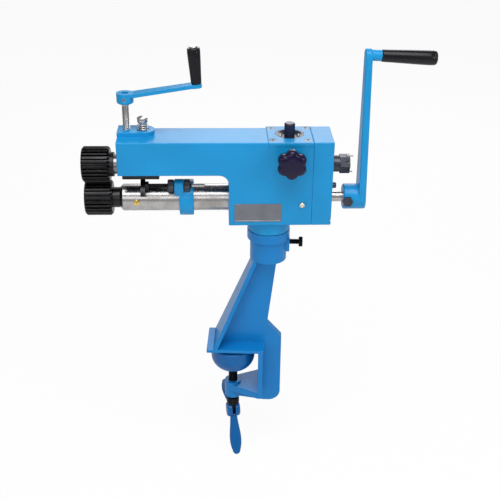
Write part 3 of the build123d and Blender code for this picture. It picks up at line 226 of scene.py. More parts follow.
def make_machined_group():
    """Tool marks, stains and painted edge highlights of bare or blackened metal. Stretch squeezes
    marks along an axis.
    """
    group, given, out = node_group(
        "Machined metal",
        [
            ("Metal", "NodeSocketColor", (0.5, 0.5, 0.5, 1)),
            ("Stain", "NodeSocketColor", (0.3, 0.29, 0.28, 1)),
            ("Edge", "NodeSocketFloat", 0.0),
            ("Metal edge highlight", "NodeSocketColor", (0.7, 0.7, 0.7, 1)),
            ("Stretch", "NodeSocketVector", (2400.0, 30.0, 30.0)),
            ("Gloss", "NodeSocketFloat", 0.25),
        ],
        SURFACE_OUTPUTS,
    )
    place = add_node(group, "ShaderNodeTexCoord").outputs["Object"]
    squeezed = add_node(
        group,
        "ShaderNodeVectorMath",
        {"operation": "MULTIPLY"},
        links={0: place, 1: given["Stretch"]},
    )
    marks = noise(group, squeezed.outputs[0], 1.0, detail=3.0)
    smudge = noise(group, place, 55.0, detail=4.0)
    stain = add_node(
        group,
        "ShaderNodeMapRange",
        values={"From Min": 0.48, "From Max": 0.72, "To Min": 0.0, "To Max": 0.75},
        links={"Value": smudge.outputs["Fac"]},
    )
    aged = blend_colors(group, stain.outputs["Result"], given["Metal"], given["Stain"])
    # painted highlight: the bright colour along edges
    color = blend_colors(group, given["Edge"], aged, given["Metal edge highlight"])
    rubbed = add_node(
        group,
        "ShaderNodeMath",
        {"operation": "MULTIPLY_ADD"},
        {1: 0.22},
        {0: marks.outputs["Fac"], 2: given["Gloss"]},
    )
    rough = add_node(
        group,
        "ShaderNodeMath",
        {"operation": "MULTIPLY_ADD"},
        {1: 0.12},
        {0: stain.outputs["Result"], 2: rubbed.outputs[0]},
    )
    group.links.new(color, out["Color"])
    group.links.new(rough.outputs[0], out["Roughness"])
    group.links.new(marks.outputs["Fac"], out["Height"])
    return group


def make_moulded_group():
    """Moulded plastic: fine matt grain, a few brighter rubbed patches and painted highlights along
    its edges.
    """
    group, given, out = node_group(
        "Moulded plastic",
        [
            ("Plastic", "NodeSocketColor", (0.01, 0.012, 0.02, 1)),
            ("Rubbed and edge highlight", "NodeSocketColor", (0.04, 0.04, 0.05, 1)),
            ("Edge", "NodeSocketFloat", 0.0),
            ("Grain", "NodeSocketFloat", 900.0),
            ("Gloss", "NodeSocketFloat", 0.2),
        ],
        SURFACE_OUTPUTS,
    )
    place = add_node(group, "ShaderNodeTexCoord").outputs["Object"]
    grain = noise(group, place, given["Grain"], detail=2.0)
    patches = noise(group, place, 60.0, detail=3.0)
    # random rubbed patches plus painted highlight along edges
    rubbed = add_node(
        group,
        "ShaderNodeMath",
        {"operation": "MULTIPLY_ADD", "use_clamp": True},
        {1: 0.25},
        {0: patches.outputs["Fac"], 2: given["Edge"]},
    )
    color = blend_colors(group, rubbed.outputs[0], given["Plastic"], given["Rubbed and edge highlight"])
    rough = add_node(
        group,
        "ShaderNodeMath",
        {"operation": "MULTIPLY_ADD"},
        {1: 0.18},
        {0: patches.outputs["Fac"], 2: given["Gloss"]},
    )
    group.links.new(color, out["Color"])
    group.links.new(rough.outputs[0], out["Roughness"])
    group.links.new(grain.outputs["Fac"], out["Height"])
    return group


edges = make_edge_group()
enamel = make_paint_group()
machined = make_machined_group()
moulded = make_moulded_group()


def material(name, surface, values, shader, edge_radius, edge_spread, bump):
    """A material from a surface group, with rounded edges, painted edge highlights, a bump and
    plain shader values.
    """
    made = bpy.data.materials.new(name)
    made.use_nodes = True
    tree = made.node_tree
    principled = tree.nodes["Principled BSDF"]
    for label, value in shader.items():
        principled.inputs[label].default_value = value
    edge = add_node(
        tree,
        "ShaderNodeGroup",
        {"node_tree": edges},
        {"Radius": edge_radius, "Spread": edge_spread},
    )
    body = add_node(
        tree,
        "ShaderNodeGroup",
        {"node_tree": surface},
        values,
        {"Edge": edge.outputs["Mask"]},
    )
    relief = add_node(
        tree,
        "ShaderNodeBump",
        values={"Strength": bump, "Distance": BUMP_DISTANCE},
        links={"Height": body.outputs["Height"], "Normal": edge.outputs["Normal"]},
    )
    tree.links.new(body.outputs["Color"], principled.inputs["Base Color"])
    tree.links.new(body.outputs["Roughness"], principled.inputs["Roughness"])
    tree.links.new(relief.outputs["Normal"], principled.inputs["Normal"])
    return made


def enamel_material(name, paint, edge_highlight):
    """Blue enamel. The second colour is a painted highlight along its edges."""
    values = {"Paint": (*paint, 1), "Paint edge highlight": (*edge_highlight, 1), "Gloss": 0.3}
    shader = {"Coat Weight": 0.12, "Coat Roughness": 0.1, "Specular IOR Level": 0.22}
    return material(name, enamel, values, shader, edge_radius=0.0009, edge_spread=0.3, bump=0.04)


def metal_material(name, metal, stain, bright, stretch, gloss, bump=0.08):
    """Bare, plated or blackened metal. Bright is the painted highlight colour along its edges."""
    values = {
        "Metal": (*metal, 1),
        "Stain": (*stain, 1),
        "Metal edge highlight": (*bright, 1),
        "Stretch": stretch,
        "Gloss": gloss,
    }
    shader = {"Metallic": 1.0}
    return material(name, machined, values, shader, edge_radius=0.0003, edge_spread=0.25, bump=bump)


def plastic_material(name, plastic, rubbed, grain, gloss, bump):
    """Dark moulded plastic. Rubbed is the colour of handled patches and the painted highlight
    colour along its edges.
    """
    values = {
        "Plastic": (*plastic, 1),
        "Rubbed and edge highlight": (*rubbed, 1),
        "Grain": grain,
        "Gloss": gloss,
    }
    shader = {"Specular IOR Level": 0.3}
    return material(name, moulded, values, shader, edge_radius=0.0006, edge_spread=0.4, bump=bump)


# how much the tool marks are squeezed along each axis
ALONG_X = (2600.0, 24.0, 24.0)
ALONG_Y = (24.0, 2600.0, 24.0)
ALONG_Z = (24.0, 24.0, 2600.0)
EVEN = (900.0, 900.0, 900.0)
BRUSHED = (20.0, 20.0, 3000.0)

# each enamel's second colour is a painted highlight along its edges
head_blue = enamel_material(
    "head enamel",
    paint=(0.006, 0.255, 0.56),
    edge_highlight=(0.1, 0.44, 0.74),
)
stand_blue = enamel_material(
    "stand enamel",
    paint=(0.003, 0.185, 0.50),
    edge_highlight=(0.05, 0.34, 0.65),
)
# darker copy of the stand's enamel: painted shade on the clamp pad and handle
shaded_clamp_blue = enamel_material(
    "clamp enamel with painted shade",
    paint=(0.0005, 0.10, 0.32),
    edge_highlight=(0.002, 0.13, 0.38),
)
# each metal's bright colour is a painted highlight along its edges
turned_x = metal_material(
    "steel turned lengthwise",
    metal=(0.47, 0.455, 0.455),
    stain=(0.31, 0.29, 0.27),
    bright=(0.75, 0.75, 0.74),
    stretch=ALONG_X,
    gloss=0.15,
)
turned_z = metal_material(
    "steel turned upright",
    metal=(0.60, 0.60, 0.60),
    stain=(0.40, 0.39, 0.38),
    bright=(0.85, 0.85, 0.84),
    stretch=ALONG_Z,
    gloss=0.14,
)
milled = metal_material(
    "milled steel",
    metal=(0.45, 0.45, 0.45),
    stain=(0.3, 0.29, 0.28),
    bright=(0.7, 0.7, 0.7),
    stretch=EVEN,
    gloss=0.24,
)
black_oxide = metal_material(
    "blackened roll steel",
    metal=(0.034, 0.033, 0.035),
    stain=(0.014, 0.014, 0.015),
    bright=(0.17, 0.17, 0.17),
    stretch=ALONG_X,
    gloss=0.18,
)
black_screw = metal_material(
    "blackened screw steel",
    metal=(0.016, 0.016, 0.018),
    stain=(0.008, 0.008, 0.009),
    bright=(0.09, 0.09, 0.09),
    stretch=ALONG_Z,
    gloss=0.25,
)
dark_steel = metal_material(
    "dark hardened steel",
    metal=(0.075, 0.078, 0.095),
    stain=(0.05, 0.05, 0.06),
    bright=(0.22, 0.22, 0.24),
    stretch=EVEN,
    gloss=0.28,
)
chrome_plate = metal_material(
    "bright plating",
    metal=(0.52, 0.52, 0.54),
    stain=(0.40, 0.40, 0.42),
    bright=(0.75, 0.75, 0.76),
    stretch=EVEN,
    gloss=0.06,
    bump=0.02,
)
screw_steel = metal_material(
    "screw steel",
    metal=(0.15, 0.18, 0.22),
    stain=(0.09, 0.11, 0.13),
    bright=(0.42, 0.45, 0.48),
    stretch=EVEN,
    gloss=0.25,
)
# darker than the steel of the lower shaft
shaft_steel = metal_material(
    "darker shaft steel",
    metal=(0.25, 0.24, 0.26),
    stain=(0.16, 0.15, 0.16),
    bright=(0.45, 0.45, 0.46),
    stretch=ALONG_X,
    gloss=0.16,
)
pale_brass = metal_material(
    "nickelled brass",
    metal=(0.80, 0.74, 0.58),
    stain=(0.6, 0.53, 0.38),
    bright=(0.95, 0.9, 0.8),
    stretch=EVEN,
    gloss=0.12,
)
brass_metal = metal_material(
    "turned brass",
    metal=(0.80, 0.58, 0.16),
    stain=(0.62, 0.42, 0.11),
    bright=(0.9, 0.72, 0.3),
    stretch=ALONG_Y,
    gloss=0.12,
)
bronze_metal = metal_material(
    "bearing bronze",
    metal=(0.55, 0.33, 0.13),
    stain=(0.36, 0.2, 0.08),
    bright=(0.7, 0.47, 0.22),
    stretch=ALONG_X,
    gloss=0.28,
)
label_metal = metal_material(
    "brushed label",
    metal=(0.22, 0.23, 0.26),
    stain=(0.17, 0.18, 0.21),
    bright=(0.66, 0.67, 0.71),
    stretch=BRUSHED,
    gloss=0.3,
)
# each plastic's rubbed colour is also a painted highlight along its edges
knob_plastic = plastic_material(
    "knob plastic",
    plastic=(0.005, 0.002, 0.026),
    rubbed=(0.01, 0.006, 0.04),
    grain=900.0,
    gloss=0.1,
    bump=0.0,
)
grip_plastic = plastic_material(
    "grip plastic",
    plastic=(0.003, 0.003, 0.005),
    rubbed=(0.01, 0.01, 0.013),
    grain=1400.0,
    gloss=0.2,
    bump=0.04,
)
post_plastic = plastic_material(
    "post finish",
    plastic=(0.012, 0.016, 0.042),
    rubbed=(0.03, 0.036, 0.07),
    grain=900.0,
    gloss=0.12,
    bump=0.04,
)

finishes = {
    head_blue: [
        "arm_housing",
        "gear_case_cover",
        "top_plate",
        "swivel_post",
        "pressure_crank",
        "main_crank",
        "gauge_collar",
    ],
    stand_blue: ["bench_clamp_stand"],
    shaded_clamp_blue: ["clamp_pad", "clamp_handle"],
    turned_x: [
        "lower_shaft_tube",
        "lower_shaft",
        "shift_sleeve",
        "lower_roll_screw",
        "upper_roll_screw",
        "cover_screws",
        "lower_gear",
        "upper_gear",
    ],
    turned_z: [
        "pressure_screw",
        "lifting_spring",
        "thrust_button",
        "pressure_grip_bolt",
        "swivel_post_screws",
    ],
    milled: [
        "lower_gear_key",
        "upper_gear_key",
        "clamp_handle_pin",
        "main_grip_bolt",
        "gauge_clamp_screw",
        "knob_slug",
        "swivel_lock_slug",
        "pressure_set_screw",
        "split_pin",
    ],
    black_oxide: [
        "lower_roll",
        "upper_roll",
        "lower_collar",
        "bearing_block",
        "gauge_stop",
        "stop_rod",
    ],
    black_screw: ["clamp_screw", "swivel_lock_bolt"],
    dark_steel: [
        "rear_spacer",
        "castle_nut",
        "crank_set_screw",
        "gauge_nuts",
        "rear_oil_cup",
    ],
    screw_steel: ["top_plate_screws"],
    shaft_steel: ["upper_shaft"],
    chrome_plate: ["lifting_bolt"],
    pale_brass: ["ball_oiler"],
    brass_metal: ["grease_nipple"],
    bronze_metal: ["tube_bush", "lower_rear_bush", "upper_rear_bush", "upper_front_bush"],
    label_metal: ["name_plate"],
    knob_plastic: ["star_knob"],
    grip_plastic: ["main_grip", "pressure_grip"],
    post_plastic: ["eccentric_post"],
}
for finish, names in finishes.items():
    for name in names:
        nodes[name].data.materials.clear()
        nodes[name].data.materials.append(finish)


# ---------------------------------------------------------------- pieces made here
SHARP = radians(32)  # edges that turn more than this stay sharp
WELD = 0.002  # points nearer than this become one
RING_POINTS = 144
VALLEY_EASE = 0.03  # keeps the valleys between peaks from ending in a crease
UPRIGHT = Matrix(((0, 0, 1, 0), (1, 0, 0, 0), (0, 1, 0, 0), (0, 0, 0, 1)))


def axis_place(point, along, across):
    """Takes millimetres about an axis to scene metres. Z runs along the axis and X across it."""
    z_way = Vector(along).normalized()
    x_way = Vector(across).normalized()
    turn = Matrix((x_way, z_way.cross(x_way), z_way)).transposed().to_4x4()
    return Matrix.Translation(point) @ turn @ Matrix.Scale(MM, 4)


def upright_place(x):
    """An upright axis in the head's middle plane."""
    return axis_place(head(x, 0, 0), (0, 0, 1), (1, 0, 0))


def front_place(x, z):
    """An axis that points at the operator. Its X is X and its Y is Z."""
    return axis_place(head(x, 0, z), (0, -1, 0), (1, 0, 0))


def reach_in(node, place):
    """Lowest and highest place of a CAD node along an axis, in millimetres."""
    back = place.inverted()
    low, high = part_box(node)
    corners = [(x, y, z) for x in (low.x, high.x) for y in (low.y, high.y) for z in (low.z, high.z)]
    ends = [(back @ Vector(corner)).z for corner in corners]
    return min(ends), max(ends)


def add_piece(name, bm, place, finish, body, slot, *replaced):
    """Moves a mesh to its place, smooths it between sharp edges and says what it rides."""
    bmesh.ops.remove_doubles(bm, verts=bm.verts, dist=WELD)
    bmesh.ops.transform(bm, matrix=place, verts=bm.verts)
    bmesh.ops.recalc_face_normals(bm, faces=bm.faces)
    for face in bm.faces:
        face.smooth = True
    for edge in bm.edges:
        edge.smooth = edge.is_manifold and edge.calc_face_angle(0.0) < SHARP
    mesh = bpy.data.meshes.new(name)
    bm.to_mesh(mesh)
    bm.free()
    mesh.materials.append(finish)
    piece = bpy.data.objects.new(name, mesh)
    bpy.context.scene.collection.objects.link(piece)
    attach(piece, body)
    if replaced:
        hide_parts(*replaced)


def turn_outline(bm, outline, segments=64):
    """Turns a line of (along, radius) points about Z."""
    rim = [bm.verts.new((radius, 0, along)) for along, radius in outline]
    lines = [bm.edges.new(pair) for pair in zip(rim, rim[1:])]
    bmesh.ops.spin(
        bm,
        geom=rim + lines,
        cent=(0, 0, 0),
        axis=(0, 0, 1),
        angle=2 * pi,
        steps=segments,
        use_merge=True,
    )


def wavy_ring(bm, along, radius, depth=0.0, waves=0, peak=0.0):
    """A ring across Z with broad peaks and narrow valleys. Gives its edges."""
    points = bmesh.ops.create_circle(bm, segments=RING_POINTS, radius=radius)["verts"]
    for point in points:
        wave = cos(waves * (atan2(point.co.y, point.co.x) - peak) / 2)
        share = sqrt((1 - VALLEY_EASE) * wave * wave + VALLEY_EASE)
        point.co.xy *= 1 - depth / radius * (1 - share)
        point.co.z = along
    return list({edge for point in points for edge in point.link_edges})


def skin_rings(bm, rings, hollow=False):
    """Faces from ring to ring. A hollow skin joins its last ring to its first. Others get caps."""
    for one, other in zip(rings, rings[1:]):
        bmesh.ops.bridge_loops(bm, edges=one + other)
    if hollow:
        bmesh.ops.bridge_loops(bm, edges=rings[-1] + rings[0])
    else:
        bmesh.ops.holes_fill(bm, edges=rings[0] + rings[-1])


def sharp_edges(lines):
    """The closed edges that turn sharply."""
    return [line for line in lines if line.is_manifold and line.calc_face_angle(0.0) > SHARP]


def slab(bm, corners, thickness, rounding=0.0, rounded=(), ease=0.0, turn=Matrix.Identity(4)):
    """An outline raised along Z. Rounded lists its corners to round. Ease bevels its edges."""
    known = set(bm.faces)
    points = [bm.verts.new((x, y, 0)) for x, y in corners]
    bm.faces.new(points)
    if rounding:
        bmesh.ops.bevel(
            bm,
            geom=[points[i] for i in rounded],
            offset=rounding,
            segments=8,
            profile=0.5,
            affect="VERTICES",
            material=-1,
        )
    base = [face for face in bm.faces if face not in known]
    top = bmesh.ops.extrude_face_region(bm, geom=base)["geom"]
    raised = [item for item in top if isinstance(item, bmesh.types.BMVert)]
    bmesh.ops.translate(bm, vec=(0, 0, thickness), verts=raised)
    sides = [face for face in bm.faces if face not in known]
    bmesh.ops.recalc_face_normals(bm, faces=sides)
    if ease:
        bmesh.ops.bevel(
            bm,
            geom=sharp_edges({line for face in sides for line in face.edges}),
            offset=ease,
            segments=3,
            profile=0.5,
            affect="EDGES",
            material=-1,
        )
    made = {point for face in bm.faces if face not in known for point in face.verts}
    bmesh.ops.transform(bm, matrix=turn, verts=list(made))


def behind(face, outline):
    """Turns (behind the face, radius) points into (along, radius) points."""
    return [(face - back, radius) for back, radius in outline]


def hexagon(flats):
    """Corners of a hexagon of this width across its flats."""
    reach = flats / sqrt(3)
    return [(reach * cos(pi / 3 * i), reach * sin(pi / 3 * i)) for i in range(6)]


def cut_thread(bm, radius, pitch, depth, low, high, segments=24):
    """A right-hand screw thread between two heights along Z, eased in at both closed ends."""
    root = radius - depth
    end_radius = root * 0.97
    # share of the pitch, radius
    form = ((0.0, root), (0.08, root), (0.46, radius), (0.58, radius), (0.96, root), (1.0, root))
    rim = [bm.verts.new((reach, 0, low - pitch + share * pitch)) for share, reach in form]
    lines = [bm.edges.new(pair) for pair in zip(rim, rim[1:])]
    turns = int((high - low) / pitch) + 3
    bmesh.ops.spin(
        bm,
        geom=rim + lines,
        cent=(0, 0, 0),
        axis=(0, 0, 1),
        dvec=(0, 0, pitch / segments),
        angle=2 * pi * turns,
        steps=segments * turns,
    )
    bmesh.ops.remove_doubles(bm, verts=bm.verts, dist=pitch * 0.01)
    for height, way in ((low, -1), (high, 1)):
        bmesh.ops.bisect_plane(
            bm,
            geom=bm.verts[:] + bm.edges[:] + bm.faces[:],
            plane_co=(0, 0, height),
            plane_no=(0, 0, way),
            clear_outer=True,
        )
    bmesh.ops.holes_fill(bm, edges=[edge for edge in bm.edges if edge.is_boundary])
    for point in bm.verts:
        room = min(point.co.z - low, high - point.co.z)
        limit = max(end_radius, radius - max(0.0, pitch - room))
        reach = point.co.xy.length
        if reach > limit:
            point.co.xy *= limit / reach


# clamp screw: coarse thread, grooved collar and the tongue that carries the handle
HANDLE_TURN = STAND_TURN + radians(13.0)
COLLAR_TOP = -102.3
COLLAR_LOW = -115.5
COLLAR_RADIUS = 9.8
COLLAR_RIM = 9.6
COLLAR_FACE = 8.4
COLLAR_EASE = 1.2
GROOVE_STEPS = (4.4, 8.8)  # above the collar's low end
GROOVE_RADIUS = 9.0
GROOVE_HALF = 0.8
TONGUE_TOP = -113.5
TONGUE_LOW = -134.2
TONGUE_HALF = 6.5
TONGUE_ROUND = 6.4
TONGUE_THICK = 4.8
clamp_place = axis_place((0, 0, 0), (0, 0, 1), (cos(HANDLE_TURN), sin(HANDLE_TURN), 0))
screw_top = reach_in("clamp_screw", clamp_place)[1]
bm = bmesh.new()
cut_thread(
    bm,
    radius=7.0,
    pitch=3.0,
    depth=1.35,
    low=COLLAR_TOP - 1.0,
    high=screw_top,
    segments=32,
)
collar = [(COLLAR_LOW, 0), (COLLAR_LOW, COLLAR_FACE), (COLLAR_LOW + COLLAR_EASE, COLLAR_RIM)]
for step in GROOVE_STEPS:
    groove = COLLAR_LOW + step
    collar += [
        (groove - GROOVE_HALF, COLLAR_RADIUS),
        (groove, GROOVE_RADIUS),
        (groove + GROOVE_HALF, COLLAR_RADIUS),
    ]
collar += [(COLLAR_TOP - COLLAR_EASE, COLLAR_RIM), (COLLAR_TOP, COLLAR_FACE), (COLLAR_TOP, 0)]
turn_outline(bm, collar)
slab(
    bm,
    [
        (-TONGUE_HALF, TONGUE_LOW),
        (TONGUE_HALF, TONGUE_LOW),
        (TONGUE_HALF, TONGUE_TOP),
        (-TONGUE_HALF, TONGUE_TOP),
    ],
    TONGUE_THICK,
    rounding=TONGUE_ROUND,
    rounded=(0, 1),
    turn=Matrix.Translation((-TONGUE_THICK / 2, 0, 0)) @ UPRIGHT,
)
add_piece(
    "clamp_screw_thread",
    bm,
    clamp_place,
    black_screw,
    "clamp_screw",
    "black_steel",
    "clamp_screw",
)

# pressure screw: fine thread with a plain top inside the crank's hub
PRESS_REACH = -197.5
PRESS_RADIUS = 5.0
PRESS_NECK = 4.3
PRESS_END = 4.2
THREAD_END = 164.5
press_place = upright_place(PRESS_REACH)
press_low, press_high = reach_in("pressure_screw", press_place)
bm = bmesh.new()
cut_thread(
    bm,
    radius=PRESS_RADIUS,
    pitch=1.5,
    depth=0.8,
    low=press_low,
    high=THREAD_END,
    segments=28,
)
turn_outline(
    bm,
    [
        (THREAD_END - 1.5, 0),
        (THREAD_END - 1.5, PRESS_NECK),
        (THREAD_END - 0.5, PRESS_RADIUS),
        (press_high - 0.8, PRESS_RADIUS),
        (press_high, PRESS_END),
        (press_high, 0),
    ],
)
add_piece(
    "pressure_screw_thread",
    bm,
    press_place,
    turned_z,
    "pressure_screw",
    "bright_steel",
    "pressure_screw",
)

# lifting bolt: threaded neck under a chamfered hexagon on its washer face
LIFT_REACH = -175.6
LIFT_BASE = 139.0
LIFT_FLATS = 13.0
WASHER_RADIUS = 6.2
WASHER_THICK = 0.6
lift_place = upright_place(LIFT_REACH)
lift_low, lift_high = reach_in("lifting_bolt", lift_place)
hexagon_base = LIFT_BASE + WASHER_THICK
bm = bmesh.new()
cut_thread(bm, radius=4.0, pitch=1.25, depth=0.65, low=lift_low, high=LIFT_BASE + 0.5)
turn_outline(
    bm,
    [
        (LIFT_BASE, 0),
        (LIFT_BASE, WASHER_RADIUS),
        (hexagon_base, WASHER_RADIUS),
        (hexagon_base, 0),
    ],
)
slab(
    bm,
    hexagon(LIFT_FLATS),
    lift_high - LIFT_BASE - WASHER_THICK,
    ease=0.9,
    turn=Matrix.Translation((0, 0, hexagon_base)),
)
add_piece(
    "lifting_bolt_turned",
    bm,
    lift_place,
    chrome_plate,
    "upper_carrier",
    "chrome",
    "lifting_bolt",
)

# lifting spring under the bolt's head
SPRING_RADIUS = 6.6
WIRE_RADIUS = 0.8
WIRE_SIDES = 10
SPRING_TURNS = 6
SPRING_STEPS = 32
spring_low, spring_high = reach_in("lifting_spring", lift_place)
spring_rise = (spring_high - spring_low - 2 * WIRE_RADIUS) / SPRING_TURNS
wire_start = Matrix.Translation((SPRING_RADIUS, 0, spring_low + WIRE_RADIUS))
bm = bmesh.new()
bmesh.ops.create_circle(
    bm,
    cap_ends=True,
    segments=WIRE_SIDES,
    radius=WIRE_RADIUS,
    matrix=wire_start @ Matrix.Rotation(pi / 2, 4, "X"),
)
bmesh.ops.spin(
    bm,
    geom=bm.faces[:] + bm.edges[:] + bm.verts[:],
    cent=(0, 0, 0),
    axis=(0, 0, 1),
    dvec=(0, 0, spring_rise / SPRING_STEPS),
    angle=2 * pi * SPRING_TURNS,
    steps=SPRING_STEPS * SPRING_TURNS,
)
add_piece(
    "lifting_spring_coil",
    bm,
    lift_place,
    turned_z,
    "head",
    "bright_steel",
    "lifting_spring",
)

# swivel lock bolt
LOCK_HEIGHT = 176.0
LOCK_HEAD_START = 44.5
LOCK_HEAD_END = 50.1
LOCK_FLATS = 14.2
LOCK_TIP_GAP = 0.9
lock_place = axis_place(
    (SWIVEL + Vector((0, 0, LOCK_HEIGHT))) * MM,
    (cos(STAND_TURN), sin(STAND_TURN), 0),
    (0, 0, 1),
)
lock_box_low, lock_box_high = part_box("swivel_lock_bolt")
lock_tip = LOCK_HEAD_END - (lock_box_high.x - lock_box_low.x) / MM + LOCK_TIP_GAP
bm = bmesh.new()
cut_thread(bm, radius=4.0, pitch=1.5, depth=0.7, low=lock_tip, high=LOCK_HEAD_START + 0.5)
slab(
    bm,
    hexagon(LOCK_FLATS),
    LOCK_HEAD_END - LOCK_HEAD_START,
    ease=0.8,
    turn=Matrix.Translation((0, 0, LOCK_HEAD_START)),
)
add_piece(
    "lock_bolt_turned",
    bm,
    lock_place,
    black_screw,
    "lock_bolt",
    "black_steel",
    "swivel_lock_bolt",
)

# stop rod: black threaded rod with a bright plain tail
ROD_ANGLE = radians(34.0)
ROD_DISTANCE = 29.2
TAIL_START = -109.6
TAIL_RADIUS = 2.2
TAIL_END = 1.5
rod_place = axis_place(
    head(0, -ROD_DISTANCE * sin(ROD_ANGLE), LOWER_AXIS + ROD_DISTANCE * cos(ROD_ANGLE)),
    (1, 0, 0),
    (0, 1, 0),
)
rod_low, rod_high = reach_in("stop_rod", rod_place)
bm = bmesh.new()
cut_thread(bm, radius=3.0, pitch=1.0, depth=0.55, low=rod_low, high=TAIL_START, segments=20)
add_piece("stop_rod_thread", bm, rod_place, black_oxide, "stop_rod", "black_steel", "stop_rod")
bm = bmesh.new()
turn_outline(
    bm,
    [
        (TAIL_START - 0.5, 0),
        (TAIL_START - 0.5, TAIL_RADIUS),
        (rod_high - 0.7, TAIL_RADIUS),
        (rod_high, TAIL_END),
        (rod_high, 0),
    ],
    segments=32,
)
add_piece("stop_rod_tail", bm, rod_place, turned_x, "stop_rod", "bright_steel")

# knurled gauge nuts with eased ends
NUT_STARTS = (-143.2, -120.8)
NUT_WIDTH = 9.0
NUT_TEETH = 24
NUT_BORE = 3.2
NUT_FACE = 7.2
# along, radius, depth of the knurl's valleys
NUT_KNURL = ((0.9, 8.4, 0.3), (1.7, 8.8, 1.0), (7.3, 8.8, 1.0), (8.1, 8.4, 0.3))
bm = bmesh.new()
for start in NUT_STARTS:
    rings = [wavy_ring(bm, start, NUT_BORE), wavy_ring(bm, start, NUT_FACE)]
    for along, radius, depth in NUT_KNURL:
        rings.append(wavy_ring(bm, start + along, radius, depth, NUT_TEETH))
    rings.append(wavy_ring(bm, start + NUT_WIDTH, NUT_FACE))
    rings.append(wavy_ring(bm, start + NUT_WIDTH, NUT_BORE))
    skin_rings(bm, rings, hollow=True)
add_piece(
    "gauge_nuts_knurled",
    bm,
    rod_place,
    dark_steel,
    "gauge_nuts",
    "black_steel",
    "gauge_nuts",
)

# gauge collar: a rounded ring, and the ear that carries the rod as a hull of round ends
EAR_START = -134.0
EAR_THICK = 13.0
EAR_RADIUS = 9.4
EAR_FOOT_REACH = 22.8
EAR_FOOT_RADIUS = 2.2
EAR_FOOT_SWING = radians(24)
EAR_EASE = 1.6
COLLAR_RING = [
    (-127.5, 19.06),
    (-127.5, 24.2),
    (-127.1, 25.2),
    (-126.1, 25.6),
    (-108.9, 25.6),
    (-107.9, 25.2),
    (-107.5, 24.2),
    (-107.5, 19.06),
    (-127.5, 19.06),
]
collar_place = axis_place(head(0, 0, LOWER_AXIS), (1, 0, 0), (0, 1, 0))
bm = bmesh.new()
for reach, radius, swing in (
    (ROD_DISTANCE, EAR_RADIUS, 0),
    (EAR_FOOT_REACH, EAR_FOOT_RADIUS, -EAR_FOOT_SWING),
    (EAR_FOOT_REACH, EAR_FOOT_RADIUS, EAR_FOOT_SWING),
):
    turn = ROD_ANGLE + swing
    for start in (EAR_START, EAR_START + EAR_THICK):
        bmesh.ops.create_circle(
            bm,
            segments=32,
            radius=radius,
            matrix=Matrix.Translation((-reach * sin(turn), reach * cos(turn), start)),
        )
hull = bmesh.ops.convex_hull(bm, input=bm.verts)
unused = set(hull["geom_interior"]) | set(hull["geom_unused"])
inside = [item for item in unused if isinstance(item, bmesh.types.BMVert)]
bmesh.ops.delete(bm, geom=inside, context="VERTS")
bmesh.ops.dissolve_limit(bm, angle_limit=radians(1), verts=bm.verts, edges=bm.edges)
bmesh.ops.bevel(
    bm,
    geom=sharp_edges(bm.edges),
    offset=EAR_EASE,
    segments=4,
    profile=0.5,
    affect="EDGES",
    material=-1,
)
turn_outline(bm, COLLAR_RING, segments=96)
add_piece(
    "gauge_collar_cast",
    bm,
    collar_place,
    head_blue,
    "gauge_collar",
    "head_paint",
    "gauge_collar",
)

# lobed knob with a domed face, on its hub and stud
KNOB_X = 26.4
KNOB_Z = 100.0
KNOB_RADIUS = 21.2
KNOB_LOBES = 6
KNOB_VALLEY = 4.0
KNOB_DOME = (  # behind the face, share of the radius
    (16.0, 0.80),
    (15.3, 0.90),
    (14.0, 0.96),
    (12.0, 0.99),
    (9.0, 1.0),
    (6.0, 0.99),
    (3.8, 0.96),
    (2.2, 0.905),
    (1.1, 0.82),
    (0.45, 0.71),
    (0.12, 0.57),
    (0.0, 0.4),
)
STUD_GAP = 0.1
STUD_RADIUS = 4.0
KNOB_HUB = [(26.0, STUD_RADIUS), (26.0, 7.8), (25.0, 8.8), (15.0, 9.0), (15.0, 0)]
knob_place = front_place(KNOB_X, KNOB_Z)
knob_low, knob_front = reach_in("star_knob", knob_place)
stud_end = knob_low + STUD_GAP
bm = bmesh.new()
rings = []
for back, share in KNOB_DOME:
    valley = KNOB_VALLEY * share**2
    rings.append(
        wavy_ring(bm, knob_front - back, KNOB_RADIUS * share, valley, KNOB_LOBES, pi / 2)
    )
skin_rings(bm, rings)
turn_outline(bm, [(stud_end, 0), (stud_end, STUD_RADIUS)] + behind(knob_front, KNOB_HUB))
add_piece(
    "star_knob_moulded",
    bm,
    knob_place,
    knob_plastic,
    "star_knob",
    "dark_plastic",
    "star_knob",
)

# crank grips, turned smooth, with a small lip before the end
MAIN_GRIP_FOOT = (146.5, 0, 231.9)
MAIN_GRIP_DROOP = radians(2.5)
PRESS_GRIP_FOOT = (-101.1, 0, 194.0)
PRESS_GRIP_LEAN = radians(3.7)
MAIN_GRIP = [
    (71.0, 4.2),
    (0.3, 4.2),
    (0.3, 7.6),
    (1.0, 8.2),
    (14.0, 8.5),
    (28.0, 8.9),
    (44.0, 9.4),
    (56.0, 9.7),
    (64.0, 9.8),
    (70.0, 9.7),
    (70.6, 9.4),
    (71.2, 9.6),
    (72.6, 9.3),
    (74.0, 8.5),
    (74.8, 7.3),
    (75.0, 6.3),
    (71.0, 6.2),
    (71.0, 4.2),
]
PRESSURE_GRIP = [
    (0.0, 3.7),
    (0.0, 6.4),
    (0.8, 7.1),
    (8.0, 7.4),
    (18.0, 7.8),
    (28.0, 8.3),
    (38.0, 8.7),
    (44.0, 8.8),
    (45.0, 8.5),
    (45.8, 8.7),
    (47.2, 8.4),
    (48.0, 7.7),
    (48.0, 3.7),
    (0.0, 3.7),
]
main_along = (cos(MAIN_GRIP_DROOP), 0, -sin(MAIN_GRIP_DROOP))
pressure_along = (-sin(PRESS_GRIP_LEAN), 0, cos(PRESS_GRIP_LEAN))
